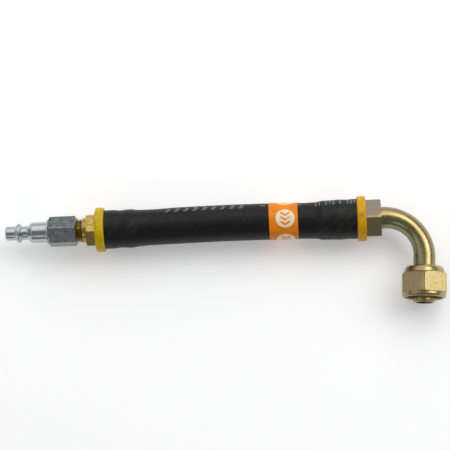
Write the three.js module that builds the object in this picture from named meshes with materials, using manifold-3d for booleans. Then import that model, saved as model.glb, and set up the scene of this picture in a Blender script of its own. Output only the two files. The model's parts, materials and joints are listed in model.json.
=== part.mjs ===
// Push-on hose assembly: a quick-connect plug, a brass barb fitting, a rubber hose and a bent-tube
// elbow with a swivel nut. Millimetres, +Z up. The hose lies along X, from the plug at -X to the
// elbow at +X, and the elbow turns towards -Y. The assembly lies flat, as on a table.

import * as THREE from 'three';
import * as BufferGeometryUtils from 'three/addons/utils/BufferGeometryUtils.js';
import Module from 'manifold-3d';

// Hose: cut length and the rest diameters of its layers.
const HOSE_LENGTH = 154.8;
const HOSE_BORE = 12.7;
const INNER_TUBE_WALL = 1.5;
const BRAID_THICKNESS = 0.9;
const COVER_WALL = 1.85;
const HOSE_OUTER = HOSE_BORE + 2 * (INNER_TUBE_WALL + BRAID_THICKNESS + COVER_WALL);
const LAYER_GAP = 0.02;
// How much the bore dips past a stem's end, how far past it, and where it is relaxed again.
const NECK_DIP = 0.35;
const NECK_DISTANCE = 8;
const RELAXED_DISTANCE = 22;

// Wrap label.
const LABEL_WIDTH = 16.6;
const LABEL_THICKNESS = 0.2;
const LABEL_GAP = 0.02;
const LABEL_PAST_STEM = 11.1;

// Moulded cup rings over the two hose ends.
const RING_LENGTH = 5.4;
const RING_FLOOR = 1.0;
const RING_EDGE_RADIUS = 1.1;
const PLUG_END_RING_WALL = 1.57;
const ELBOW_END_RING_WALL = 1.32;
const RING_CLEARANCE = 0.15;
const SEAT_GAP = 0.05;

// Taper pipe thread, 1/4 inch: pitch diameter at the small end, height, pitch and taper.
const PIPE_PITCH_DIAMETER = 12.13;
const PIPE_THREAD_HEIGHT = 1.13;
const PIPE_PITCH = 1.411;
const PIPE_TAPER = 1 / 16;
const PIPE_ENGAGED = 9.9;
const PIPE_EXPOSED = 5.2;
const PIPE_SHOULDER_LENGTH = 2.1;
const PIPE_SHOULDER_DIAMETER = PIPE_PITCH_DIAMETER + 1.97;
const PIPE_GAP = 0.06;
const PIPE_ROOT_FLAT = 0.25;

// Quick-connect plug, from its tip: nose, latching ridge, groove, cone, shank, hexagon. The hexagon is
// a wall outside the thread.
const PLUG_BORE = 5.4;
const PLUG_NOSE_DIAMETER = 8.2;
const PLUG_NOSE_LENGTH = 5.75;
const PLUG_NOSE_CHAMFER = 0.6;
const PLUG_RIDGE_DIAMETER = 11.4;
const PLUG_RIDGE_LENGTH = 4.1;
const PLUG_RIDGE_CREST = 0.9;
const PLUG_GROOVE_DIAMETER = 7.9;
const PLUG_GROOVE_LENGTH = 3.1;
const PLUG_CONE_LENGTH = 2.6;
const PLUG_SHANK_DIAMETER = 11.9;
const PLUG_SHANK_LENGTH = 8.7;
const PLUG_HEX_FLATS = PIPE_PITCH_DIAMETER + 2 * 1.885;
const PLUG_COLLAR_DIAMETER = PLUG_HEX_FLATS - 1.7;
const PLUG_COLLAR_LENGTH = 0.8;
const PLUG_HEX_LENGTH = 16.9;
const PLUG_HEX_CHAMFER_RUN = 1.2;
const TAP_RUNOUT = 3.1;

// Brass barb fitting.
const BRASS_BORE = 7.4;
const BRASS_HEX_FLATS = PIPE_SHOULDER_DIAMETER + 2 * 1.68;
const BRASS_HEX_LENGTH = 5.5;
const BRASS_BARB_BITE = 0.95;
const BRASS_BARB_COUNT = 2;
const BRASS_FIRST_BARB = 9.5;
const BRASS_BARB_PITCH = 10.5;
const BRASS_TIP_LENGTH = 4.6;

// Barbed nipple of the elbow.
const NIPPLE_TIP_WALL = 1.2;
const NIPPLE_HEX_FLATS = 21.1;
const NIPPLE_HEX_LENGTH = 8.4;
const NIPPLE_BARB_BITE = 1.55;
const NIPPLE_BARB_COUNT = 3;
const NIPPLE_FIRST_BARB = 6.2;
const NIPPLE_BARB_PITCH = 9.0;
const NIPPLE_TIP_LENGTH = 4.2;
const NIPPLE_TIP_BARB_DROP = 0.4;
const SOCKET_DEPTH = 6.0;

// Barbs bite this far into the bore; the stem between them is slack in it. Flat on the crest and
// lengths of the two flanks.
const STEM_DIAMETER = HOSE_BORE - 0.3;
const STEM_TIP_DIAMETER = STEM_DIAMETER - 0.6;
const BARB_FLAT = 0.6;
const BARB_BACK = 0.7;
const BARB_RAMP = 4.2;
const BARB_GAP = 0.05;
// Share of a barb's height that the rubber keeps at the hose end and halfway between two barbs.
const GRIP_AT_END = 0.65;
const BRASS_GRIP_BETWEEN = 0.45;
const NIPPLE_GRIP_BETWEEN = 0.8;

// Elbow tube.
const TUBE_OUTER = 12.7;
const TUBE_WALL = 1.65;
const TUBE_LEAD = 1.6;
const BEND_RADIUS = 22.4;
const BEND_DEGREES = 93.2;
const BEND_FLATTENING = 0.07;
const TUBE_LEG = 26.7;
const TUBE_TIP_CHAMFER = 0.7;
const BEAD_DIAMETER = TUBE_OUTER + 2 * 2.35;
const BEAD_LENGTH = 2.4;
const BEAD_FROM_TIP = 10.2;
const BRAZE_GAP = 0.1;

// O-ring behind the pilot.
const O_RING_SECTION = 1.8;
const O_RING_GAP = 0.1;

// Swivel nut, 7/8-14 thread in a one inch hexagon. Its thread clears the bead, and the hexagon is a
// wall outside the thread.
const NUT_THREAD_MINOR = BEAD_DIAMETER + 2 * 1.45;
const NUT_THREAD_MAJOR = NUT_THREAD_MINOR + 2 * 0.95;
const NUT_HEX_FLATS = NUT_THREAD_MAJOR + 2 * 1.6;
const NUT_LENGTH = 18.4;
const NUT_BACK_FROM_TIP = 2.6;
const NUT_COLLAR_DIAMETER = NUT_HEX_FLATS - 1.5;
const NUT_COLLAR_TOP_DIAMETER = NUT_COLLAR_DIAMETER - 1.9;
const NUT_COLLAR_LENGTH = 4.0;
const NUT_COLLAR_ROUNDING = 1.6;
const NUT_CHAMFER_RUN = 0.9;
const NUT_SKIRT_DIAMETER = NUT_HEX_FLATS - 0.2;
const NUT_SKIRT_LENGTH = 3.0;
const NUT_SKIRT_CHAMFER = 0.5;
const NUT_THREAD_DEPTH = 12.7;
const NUT_MOUTH_CHAMFER = 1.0;
const NUT_RUNNING_GAP = 0.25;

// How each hexagon stands in the assembly: degrees from +Z to its nearest corner, towards the side
// that the elbow turns to, and on the nut towards the plug.
const PLUG_HEX_TURN = -5;
const BRASS_HEX_TURN = 14;
const NIPPLE_HEX_TURN = 8;
const NUT_TURN = 2.3;

// Fineness of the faceted surfaces.
const SIDES = 24;
const TUBE_STEPS = 24;
const ROUNDING_STEPS = 3;
const O_RING_SIDES = 8;
const MERGE_DISTANCE = 1e-4;

// Lengths that follow from the sizes above, measured from the plug's tip along the hose.
const PLUG_HEX_START =
  PLUG_NOSE_LENGTH + PLUG_RIDGE_LENGTH + PLUG_GROOVE_LENGTH +
  PLUG_CONE_LENGTH + PLUG_SHANK_LENGTH + PLUG_COLLAR_LENGTH;
const PLUG_END = PLUG_HEX_START + PLUG_HEX_LENGTH;
const BRASS_HEX_START = PLUG_END + PIPE_EXPOSED;
const BRASS_HEX_END = BRASS_HEX_START + BRASS_HEX_LENGTH;
const HOSE_START = BRASS_HEX_END + RING_FLOOR + 2 * SEAT_GAP;
const HOSE_END = HOSE_START + HOSE_LENGTH;
const NIPPLE_HEX_START = HOSE_END + RING_FLOOR + 2 * SEAT_GAP;
const NIPPLE_HEX_END = NIPPLE_HEX_START + NIPPLE_HEX_LENGTH;
const BEND_START = NIPPLE_HEX_END + TUBE_LEAD;
const BEND_ANGLE = THREE.MathUtils.degToRad(BEND_DEGREES);

const MATERIALS = {
  plugSteel: new THREE.MeshStandardMaterial({ color: 0x8d9694, roughness: 0.35, metalness: 1 }),
  brass: new THREE.MeshStandardMaterial({ color: 0xb59a4c, roughness: 0.35, metalness: 1 }),
  lemonPlastic: new THREE.MeshStandardMaterial({ color: 0xcaad0b, roughness: 0.5, metalness: 0 }),
  amberPlastic: new THREE.MeshStandardMaterial({ color: 0xd8a71e, roughness: 0.5, metalness: 0 }),
  tubeRubber: new THREE.MeshStandardMaterial({ color: 0x151513, roughness: 0.7, metalness: 0 }),
  braidYarn: new THREE.MeshStandardMaterial({ color: 0xb8b2a4, roughness: 0.9, metalness: 0 }),
  coverRubber: new THREE.MeshStandardMaterial({ color: 0x1c1e19, roughness: 0.6, metalness: 0 }),
  orangeLabel: new THREE.MeshStandardMaterial({ color: 0xe28304, roughness: 0.5, metalness: 0 }),
  goldZinc: new THREE.MeshStandardMaterial({ color: 0xb0a070, roughness: 0.3, metalness: 1 }),
  sealRubber: new THREE.MeshStandardMaterial({ color: 0x11120f, roughness: 0.55, metalness: 0 }),
};

const wasm = await Module();
wasm.setup();

/** A closed three.js geometry as a solid that can be joined and cut. */
function solidOf(geometry) {
  const bare = geometry.clone();
  bare.deleteAttribute('normal');
  bare.deleteAttribute('uv');
  const merged = BufferGeometryUtils.mergeVertices(bare, MERGE_DISTANCE);
  return new wasm.Manifold(new wasm.Mesh({
    numProp: 3,
    vertProperties: new Float32Array(merged.attributes.position.array),
    triVerts: new Uint32Array(merged.index.array),
  }));
}

/** A solid as a three.js geometry. */
function geometryOf(solid) {
  const mesh = solid.getMesh();
  const geometry = new THREE.BufferGeometry();
  geometry.setAttribute('position', new THREE.BufferAttribute(mesh.vertProperties, 3));
  geometry.setIndex(new THREE.BufferAttribute(mesh.triVerts, 1));
  geometry.computeVertexNormals();
  return geometry;
}

function piece(name, geometry, material) {
  const mesh = new THREE.Mesh(geometry, material);
  mesh.name = name;
  return mesh;
}

/** An outline's points: up the outside, then back along the bore. Each point is [station, radius]. */
function walled(outside, bore) {
  return [...outside, ...bore.toReversed()];
}

/** A solid of revolution about X from a closed outline of [station, radius] points. */
function turned(outline) {
  const points = outline.map(([station, radius]) => new THREE.Vector2(radius, station));
  points.push(points[0].clone());
  return new THREE.LatheGeometry(points, SIDES).rotateZ(-Math.PI / 2);
}

/** A piece turned from hexagon bar: whatever of the outline is wider than the flats stays a hexagon. */
function turnedFromHexBar(outline, flats, turnDegrees) {
  const stations = outline.map(([station]) => station);
  const start = Math.min(...stations) - 1;
  const length = Math.max(...stations) + 1 - start;
  const cornerRadius = flats / Math.sqrt(3);
  const bar = new THREE.CylinderGeometry(cornerRadius, cornerRadius, length, 6);
  bar.rotateZ(-Math.PI / 2);
  bar.rotateX(THREE.MathUtils.degToRad(turnDegrees));
  bar.translate(start + length / 2, 0, 0);
  return geometryOf(solidOf(turned(outline)).intersect(solidOf(bar)));
}

/** Points of a quarter round from one [station, radius] corner side to the other. */
function quarterRound(station, radius, size, towardsPlus) {
  const points = [];
  for (let step = 0; step <= ROUNDING_STEPS; step += 1) {
    const angle = (Math.PI / 2) * (step / ROUNDING_STEPS);
    const along = towardsPlus ? Math.sin(angle) : -Math.cos(angle);
    const out = towardsPlus ? Math.cos(angle) : Math.sin(angle);
    points.push([station + size * along, radius - size + size * out]);
  }
  return points;
}

/** Pitch radius of the taper thread at a distance from its small end. */
function pipePitchRadius(fromSmallEnd) {
  return (PIPE_PITCH_DIAMETER + fromSmallEnd * PIPE_TAPER) / 2;
}

/** A fitting's barbs, as the distance from its hexagon and the crest radius. The tip's is the lowest. */
function barbsOf(fitting) {
  return Array.from({ length: fitting.barbCount }, (_, i) => ({
    distance: fitting.firstBarb + i * fitting.barbPitch,
    crest: fitting.barbCrest / 2 - (i + 1 === fitting.barbCount ? fitting.tipBarbDrop : 0),
  }));
}

/** A barbed stem's outside, as [distance from the hexagon, radius] points, hexagon to tip. */
function stemOutside(fitting) {
  const root = STEM_DIAMETER / 2;
  const points = [[0, root]];
  for (const { distance, crest } of barbsOf(fitting)) {
    const rampEnd = Math.min(distance + BARB_FLAT + BARB_RAMP, fitting.stemLength);
    const last = rampEnd === fitting.stemLength || distance + fitting.barbPitch > fitting.stemLength;
    points.push([distance - BARB_BACK, root]);
    points.push([distance, crest]);
    points.push([distance + BARB_FLAT, crest]);
    points.push(last ? [fitting.stemLength, STEM_TIP_DIAMETER / 2] : [rampEnd, root]);
  }
  return points;
}

/** The hose bore's radius over a barbed stem, as [distance from the hexagon, radius] points. */
function gripPoints(fitting) {
  const rest = HOSE_BORE / 2;
  const gripped = (share) => rest + share * (fitting.barbCrest / 2 + BARB_GAP - rest);
  const barbs = barbsOf(fitting);
  const points = [[RING_FLOOR + 2 * SEAT_GAP, gripped(GRIP_AT_END)]];
  barbs.forEach(({ distance, crest }, i) => {
    points.push([distance + BARB_FLAT / 2 - BARB_FLAT, crest + BARB_GAP]);
    points.push([distance + BARB_FLAT / 2 + BARB_FLAT, crest + BARB_GAP]);
    if (i + 1 < barbs.length) {
      points.push([distance + fitting.barbPitch / 2, gripped(fitting.gripBetween)]);
    }
  });
  points.push([fitting.stemLength + 1, rest]);
  points.push([fitting.stemLength + NECK_DISTANCE, rest - NECK_DIP]);
  points.push([fitting.stemLength + RELAXED_DISTANCE, rest]);
  return points;
}

const BRASS_STEM = {
  stemLength: BRASS_FIRST_BARB + (BRASS_BARB_COUNT - 1) * BRASS_BARB_PITCH + BRASS_TIP_LENGTH,
  barbCrest: HOSE_BORE + 2 * BRASS_BARB_BITE,
  barbCount: BRASS_BARB_COUNT,
  firstBarb: BRASS_FIRST_BARB,
  barbPitch: BRASS_BARB_PITCH,
  tipBarbDrop: 0,
  gripBetween: BRASS_GRIP_BETWEEN,
};
const NIPPLE_STEM = {
  stemLength: NIPPLE_FIRST_BARB + (NIPPLE_BARB_COUNT - 1) * NIPPLE_BARB_PITCH + NIPPLE_TIP_LENGTH,
  barbCrest: HOSE_BORE + 2 * NIPPLE_BARB_BITE,
  barbCount: NIPPLE_BARB_COUNT,
  firstBarb: NIPPLE_FIRST_BARB,
  barbPitch: NIPPLE_BARB_PITCH,
  tipBarbDrop: NIPPLE_TIP_BARB_DROP,
  gripBetween: NIPPLE_GRIP_BETWEEN,
};

/** The hose bore along X, from one hose end to the other. */
function boreAlongHose() {
  const plugEnd = gripPoints(BRASS_STEM).map(([d, radius]) => [BRASS_HEX_END + d, radius]);
  const elbowEnd = gripPoints(NIPPLE_STEM).map(([d, radius]) => [NIPPLE_HEX_START - d, radius]);
  return [...plugEnd, ...elbowEnd.toReversed()];
}

/** Where a layer surface lies when the bore is stretched: the rubber keeps its volume. */
function stretched(restRadius, boreRadius) {
  return Math.sqrt(boreRadius ** 2 + restRadius ** 2 - (HOSE_BORE / 2) ** 2);
}

function hoseLayer(innerRest, outerRest) {
  const bore = boreAlongHose();
  const surface = (rest) => bore.map(([station, radius]) => [station, stretched(rest, radius)]);
  return turned(walled(surface(outerRest), surface(innerRest)));
}

function makeHose() {
  const braidInner = HOSE_BORE / 2 + INNER_TUBE_WALL;
  const braidOuter = braidInner + BRAID_THICKNESS;
  return [
    piece('hose_inner_tube', hoseLayer(HOSE_BORE / 2, braidInner - LAYER_GAP), MATERIALS.tubeRubber),
    piece('hose_textile_braid', hoseLayer(braidInner, braidOuter - LAYER_GAP), MATERIALS.braidYarn),
    piece('hose_cover', hoseLayer(braidOuter, HOSE_OUTER / 2), MATERIALS.coverRubber),
  ];
}

function makeLabel() {
  const end = NIPPLE_HEX_START - NIPPLE_STEM.stemLength - LABEL_PAST_STEM;
  const inner = HOSE_OUTER / 2 + LABEL_GAP;
  const outer = inner + LABEL_THICKNESS;
  const outline = walled(
    [[end - LABEL_WIDTH, outer], [end, outer]],
    [[end - LABEL_WIDTH, inner], [end, inner]],
  );
  return piece('wrap_label', turned(outline), MATERIALS.orangeLabel);
}

/** A cup ring: its floor sits against the hexagon, and its wall runs over the hose end. */
function cupRing(wall, fitting) {
  const [, boreAtEnd] = gripPoints(fitting)[0];
  const [, boreAtCrest] = gripPoints(fitting)[1];
  const cupRadius = stretched(HOSE_OUTER / 2, Math.max(boreAtEnd, boreAtCrest)) + RING_CLEARANCE;
  const hole = STEM_DIAMETER / 2 + RING_CLEARANCE;
  const outer = cupRadius + wall;
  const outside = [
    ...quarterRound(RING_EDGE_RADIUS, outer, RING_EDGE_RADIUS, false),
    ...quarterRound(RING_LENGTH - RING_EDGE_RADIUS, outer, RING_EDGE_RADIUS, true),
  ];
  const inside = [[0, hole], [RING_FLOOR, hole], [RING_FLOOR, cupRadius], [RING_LENGTH, cupRadius]];
  return turned(walled(outside, inside));
}

function makeRings() {
  const plugEnd = cupRing(PLUG_END_RING_WALL, BRASS_STEM);
  plugEnd.translate(BRASS_HEX_END + SEAT_GAP, 0, 0);
  const elbowEnd = cupRing(ELBOW_END_RING_WALL, NIPPLE_STEM);
  elbowEnd.rotateZ(Math.PI);
  elbowEnd.translate(NIPPLE_HEX_START - SEAT_GAP, 0, 0);
  return [
    piece('plug_end_ring', plugEnd, MATERIALS.lemonPlastic),
    piece('elbow_end_ring', elbowEnd, MATERIALS.amberPlastic),
  ];
}

/** Outside of the plug as [station, radius] points, from its tip. */
function plugOutside() {
  const hexCorner = PLUG_HEX_FLATS / Math.sqrt(3);
  const nose = PLUG_NOSE_DIAMETER / 2;
  const ridgeStart = PLUG_NOSE_LENGTH;
  const ridgeMiddle = ridgeStart + PLUG_RIDGE_LENGTH / 2;
  const grooveStart = ridgeStart + PLUG_RIDGE_LENGTH;
  const grooveEnd = grooveStart + PLUG_GROOVE_LENGTH;
  const shankStart = grooveEnd + PLUG_CONE_LENGTH;
  const collarStart = PLUG_HEX_START - PLUG_COLLAR_LENGTH;
  return [
    [0, nose - PLUG_NOSE_CHAMFER],
    [PLUG_NOSE_CHAMFER, nose],
    [ridgeStart, nose],
    [ridgeMiddle - PLUG_RIDGE_CREST / 2, PLUG_RIDGE_DIAMETER / 2],
    [ridgeMiddle + PLUG_RIDGE_CREST / 2, PLUG_RIDGE_DIAMETER / 2],
    [grooveStart, PLUG_GROOVE_DIAMETER / 2],
    [grooveEnd, PLUG_GROOVE_DIAMETER / 2],
    [shankStart, PLUG_SHANK_DIAMETER / 2],
    [collarStart, PLUG_SHANK_DIAMETER / 2],
    [collarStart, PLUG_COLLAR_DIAMETER / 2],
    [PLUG_HEX_START, PLUG_COLLAR_DIAMETER / 2],
    [PLUG_HEX_START + PLUG_HEX_CHAMFER_RUN, hexCorner + 0.1],
    [PLUG_END - PLUG_HEX_CHAMFER_RUN, hexCorner + 0.1],
    [PLUG_END, PLUG_COLLAR_DIAMETER / 2],
  ];
}

function makePlug() {
  const smallEnd = PLUG_END - PIPE_ENGAGED;
  const tapEnd = smallEnd - TAP_RUNOUT;
  const tapRadius = (station) => pipePitchRadius(station - smallEnd) + PIPE_GAP;
  const bore = [
    [0, PLUG_BORE / 2],
    [tapEnd, PLUG_BORE / 2],
    [tapEnd, tapRadius(tapEnd)],
    [PLUG_END, tapRadius(PLUG_END)],
  ];
  const outline = walled(plugOutside(), bore);
  const geometry = turnedFromHexBar(outline, PLUG_HEX_FLATS, PLUG_HEX_TURN);
  return piece('quick_connect_plug', geometry, MATERIALS.plugSteel);
}

/** Ridges of the thread that stays in sight past the plug, and the plain shoulder after them. */
function exposedThread() {
  const ridges = Math.floor((PIPE_EXPOSED - PIPE_SHOULDER_LENGTH - PIPE_ROOT_FLAT) / PIPE_PITCH);
  const points = [];
  for (let ridge = 0; ridge < ridges; ridge += 1) {
    const start = PIPE_ROOT_FLAT + ridge * PIPE_PITCH;
    const middle = start + PIPE_PITCH / 2;
    const radius = pipePitchRadius(PIPE_ENGAGED + middle);
    points.push([PLUG_END + start, radius - PIPE_THREAD_HEIGHT / 2]);
    points.push([PLUG_END + middle, radius + PIPE_THREAD_HEIGHT / 2]);
  }
  const last = PIPE_ROOT_FLAT + ridges * PIPE_PITCH;
  const shoulder = PIPE_SHOULDER_DIAMETER / 2;
  points.push([PLUG_END + last, pipePitchRadius(PIPE_ENGAGED + last) - PIPE_THREAD_HEIGHT / 2]);
  points.push([BRASS_HEX_START - PIPE_SHOULDER_LENGTH, shoulder], [BRASS_HEX_START, shoulder]);
  return points;
}

function makeBrassFitting() {
  const smallEnd = PLUG_END - PIPE_ENGAGED;
  const hexCorner = BRASS_HEX_FLATS / Math.sqrt(3) + 0.1;
  const stem = stemOutside(BRASS_STEM).map(([d, radius]) => [BRASS_HEX_END + d, radius]);
  const outside = [
    [smallEnd, pipePitchRadius(0)],
    [PLUG_END, pipePitchRadius(PIPE_ENGAGED)],
    ...exposedThread(),
    [BRASS_HEX_START, hexCorner],
    [BRASS_HEX_END, hexCorner],
    ...stem,
  ];
  const bore = [[smallEnd, BRASS_BORE / 2], [BRASS_HEX_END + BRASS_STEM.stemLength, BRASS_BORE / 2]];
  const geometry = turnedFromHexBar(walled(outside, bore), BRASS_HEX_FLATS, BRASS_HEX_TURN);
  return piece('brass_barb_fitting', geometry, MATERIALS.brass);
}

function makeNipple() {
  const tip = NIPPLE_HEX_START - NIPPLE_STEM.stemLength;
  const boreRadius = STEM_TIP_DIAMETER / 2 - NIPPLE_TIP_WALL;
  const hexCorner = NIPPLE_HEX_FLATS / Math.sqrt(3) + 0.1;
  const socketStart = NIPPLE_HEX_END - SOCKET_DEPTH;
  const socketRadius = TUBE_OUTER / 2 + BRAZE_GAP;
  const stem = stemOutside(NIPPLE_STEM).map(([d, radius]) => [NIPPLE_HEX_START - d, radius]);
  const outside = [
    ...stem.toReversed(),
    [NIPPLE_HEX_START, hexCorner],
    [NIPPLE_HEX_END, hexCorner],
  ];
  const bore = [
    [tip, boreRadius],
    [socketStart, boreRadius],
    [socketStart, socketRadius],
    [NIPPLE_HEX_END, socketRadius],
  ];
  const geometry = turnedFromHexBar(walled(outside, bore), NIPPLE_HEX_FLATS, NIPPLE_HEX_TURN);
  return piece('elbow_barb_nipple', geometry, MATERIALS.goldZinc);
}

/** The elbow's centreline: straight out of the nipple, round the bend, and down the leg. */
class ElbowLine extends THREE.Curve {
  constructor(before, after) {
    super();
    this.before = before;
    this.bend = BEND_RADIUS * BEND_ANGLE;
    this.total = before + this.bend + after;
  }

  getPoint(t, target = new THREE.Vector3()) {
    const travelled = t * this.total - this.before;
    const angle = THREE.MathUtils.clamp(travelled / BEND_RADIUS, 0, BEND_ANGLE);
    const straight = travelled - angle * BEND_RADIUS;
    return target.set(
      BEND_START + BEND_RADIUS * Math.sin(angle) + straight * Math.cos(angle),
      BEND_RADIUS * (Math.cos(angle) - 1) - straight * Math.sin(angle),
      0,
    );
  }
}

/** Flattens a swept round in the bend, most at its middle: thinner in the bend's plane, taller across it. */
function flattenInBend(geometry) {
  const position = geometry.attributes.position;
  const point = new THREE.Vector3();
  for (let i = 0; i < position.count; i += 1) {
    point.fromBufferAttribute(position, i);
    const east = point.x - BEND_START;
    const north = point.y + BEND_RADIUS;
    const angle = Math.atan2(east, north);
    if (angle > 0 && angle < BEND_ANGLE) {
      const share = BEND_FLATTENING * Math.sin((Math.PI * angle) / BEND_ANGLE);
      const fromCentre = Math.hypot(east, north);
      const squeezed = BEND_RADIUS + (fromCentre - BEND_RADIUS) * (1 - share);
      point.x = BEND_START + (east * squeezed) / fromCentre;
      point.y = (north * squeezed) / fromCentre - BEND_RADIUS;
      point.z *= 1 + share / 2;
      position.setXYZ(i, point.x, point.y, point.z);
    }
  }
  return geometry;
}

/** A round of a given diameter swept along the elbow's centreline. */
function sweptRound(diameter, before, after) {
  const corners = [];
  for (let side = 0; side < SIDES; side += 1) {
    const angle = (2 * Math.PI * side) / SIDES;
    corners.push(new THREE.Vector2(Math.cos(angle), Math.sin(angle)).multiplyScalar(diameter / 2));
  }
  const swept = new THREE.ExtrudeGeometry(new THREE.Shape(corners), {
    steps: TUBE_STEPS,
    extrudePath: new ElbowLine(before, after),
    bevelEnabled: false,
  });
  return flattenInBend(swept);
}

/** Puts what was turned about X, with station 0 at the end of the bend, onto the elbow's leg. */
function placeOnLeg(geometry) {
  geometry.rotateZ(-BEND_ANGLE);
  geometry.translate(
    BEND_START + BEND_RADIUS * Math.sin(BEND_ANGLE),
    BEND_RADIUS * (Math.cos(BEND_ANGLE) - 1),
    0,
  );
  return geometry;
}

function makeElbowTube() {
  const inSocket = SOCKET_DEPTH - BRAZE_GAP;
  const before = TUBE_LEAD + inSocket;
  const bore = TUBE_OUTER - 2 * TUBE_WALL;
  const outer = TUBE_OUTER / 2;
  const beadStart = TUBE_LEG - BEAD_FROM_TIP - BEAD_LENGTH;
  const bead = placeOnLeg(turned(walled(
    [
      [beadStart, outer],
      [beadStart + BEAD_LENGTH / 4, BEAD_DIAMETER / 2],
      [beadStart + (BEAD_LENGTH * 3) / 4, BEAD_DIAMETER / 2],
      [beadStart + BEAD_LENGTH, outer],
    ],
    [[beadStart, outer - TUBE_WALL / 2], [beadStart + BEAD_LENGTH, outer - TUBE_WALL / 2]],
  )));
  const tipCut = placeOnLeg(turned(walled(
    [[TUBE_LEG - TUBE_TIP_CHAMFER, outer + 1], [TUBE_LEG + 1, outer + 1]],
    [[TUBE_LEG - TUBE_TIP_CHAMFER, outer], [TUBE_LEG + 1, outer - TUBE_TIP_CHAMFER - 1]],
  )));
  const tube = solidOf(sweptRound(TUBE_OUTER, before, TUBE_LEG))
    .add(solidOf(bead))
    .subtract(solidOf(tipCut))
    .subtract(solidOf(sweptRound(bore, before + 1, TUBE_LEG + 1)));
  return piece('elbow_tube', geometryOf(tube), MATERIALS.goldZinc);
}

/** The seal on the pilot, against the tip side of the bead. */
function makeORing() {
  const centre = TUBE_LEG - BEAD_FROM_TIP + O_RING_GAP + O_RING_SECTION / 2;
  const radius = TUBE_OUTER / 2 + O_RING_GAP + O_RING_SECTION / 2;
  const outline = [];
  for (let side = 0; side < O_RING_SIDES; side += 1) {
    const angle = (-2 * Math.PI * side) / O_RING_SIDES;
    outline.push([
      centre + (O_RING_SECTION / 2) * Math.cos(angle),
      radius + (O_RING_SECTION / 2) * Math.sin(angle),
    ]);
  }
  return piece('pilot_o_ring', placeOnLeg(turned(outline)), MATERIALS.sealRubber);
}

function makeNut() {
  const end = TUBE_LEG - NUT_BACK_FROM_TIP;
  const start = end - NUT_LENGTH;
  const hexStart = start + NUT_COLLAR_LENGTH;
  const hexEnd = end - NUT_SKIRT_LENGTH;
  const hexCorner = NUT_HEX_FLATS / Math.sqrt(3) + 0.1;
  const threadEnd = end - NUT_THREAD_DEPTH;
  const collarBore = TUBE_OUTER / 2 + NUT_RUNNING_GAP;
  const outside = [
    ...quarterRound(start + NUT_COLLAR_ROUNDING, NUT_COLLAR_TOP_DIAMETER / 2, NUT_COLLAR_ROUNDING, false),
    [hexStart, NUT_COLLAR_DIAMETER / 2],
    [hexStart + NUT_CHAMFER_RUN, hexCorner],
    [hexEnd, hexCorner],
    [hexEnd, NUT_SKIRT_DIAMETER / 2],
    [end - NUT_SKIRT_CHAMFER, NUT_SKIRT_DIAMETER / 2],
    [end, NUT_SKIRT_DIAMETER / 2 - NUT_SKIRT_CHAMFER],
  ];
  const inside = [
    [start, collarBore],
    [threadEnd, collarBore],
    [threadEnd, NUT_THREAD_MINOR / 2],
    [end - NUT_MOUTH_CHAMFER, NUT_THREAD_MINOR / 2],
    [end, NUT_THREAD_MAJOR / 2],
  ];
  const geometry = turnedFromHexBar(walled(outside, inside), NUT_HEX_FLATS, NUT_TURN);
  return piece('swivel_nut', placeOnLeg(geometry), MATERIALS.goldZinc);
}

/** Lays the assembly on its lowest point, with the middle of its outline over the origin. */
function layFlat(assembly) {
  const box = new THREE.Box3().setFromObject(assembly, true);
  const middle = box.getCenter(new THREE.Vector3());
  assembly.position.set(-middle.x, -middle.y, -box.min.z);
  return assembly;
}

const hoseAssembly = new THREE.Group();
hoseAssembly.add(
  makePlug(),
  makeBrassFitting(),
  ...makeRings(),
  ...makeHose(),
  makeLabel(),
  makeNipple(),
  makeElbowTube(),
  makeORing(),
  makeNut(),
);

export default layFlat(hoseAssembly);
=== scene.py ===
"""A short push-on hose with a quick-connect plug and a swivel elbow, laid out as a Blender add-on.

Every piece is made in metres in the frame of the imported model. Sizes that the frame gives are read
from it, and the rest are named below in millimetres.
"""

import json
import math

import bmesh
import bpy
import numpy as np
from mathutils import Matrix, Vector


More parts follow.
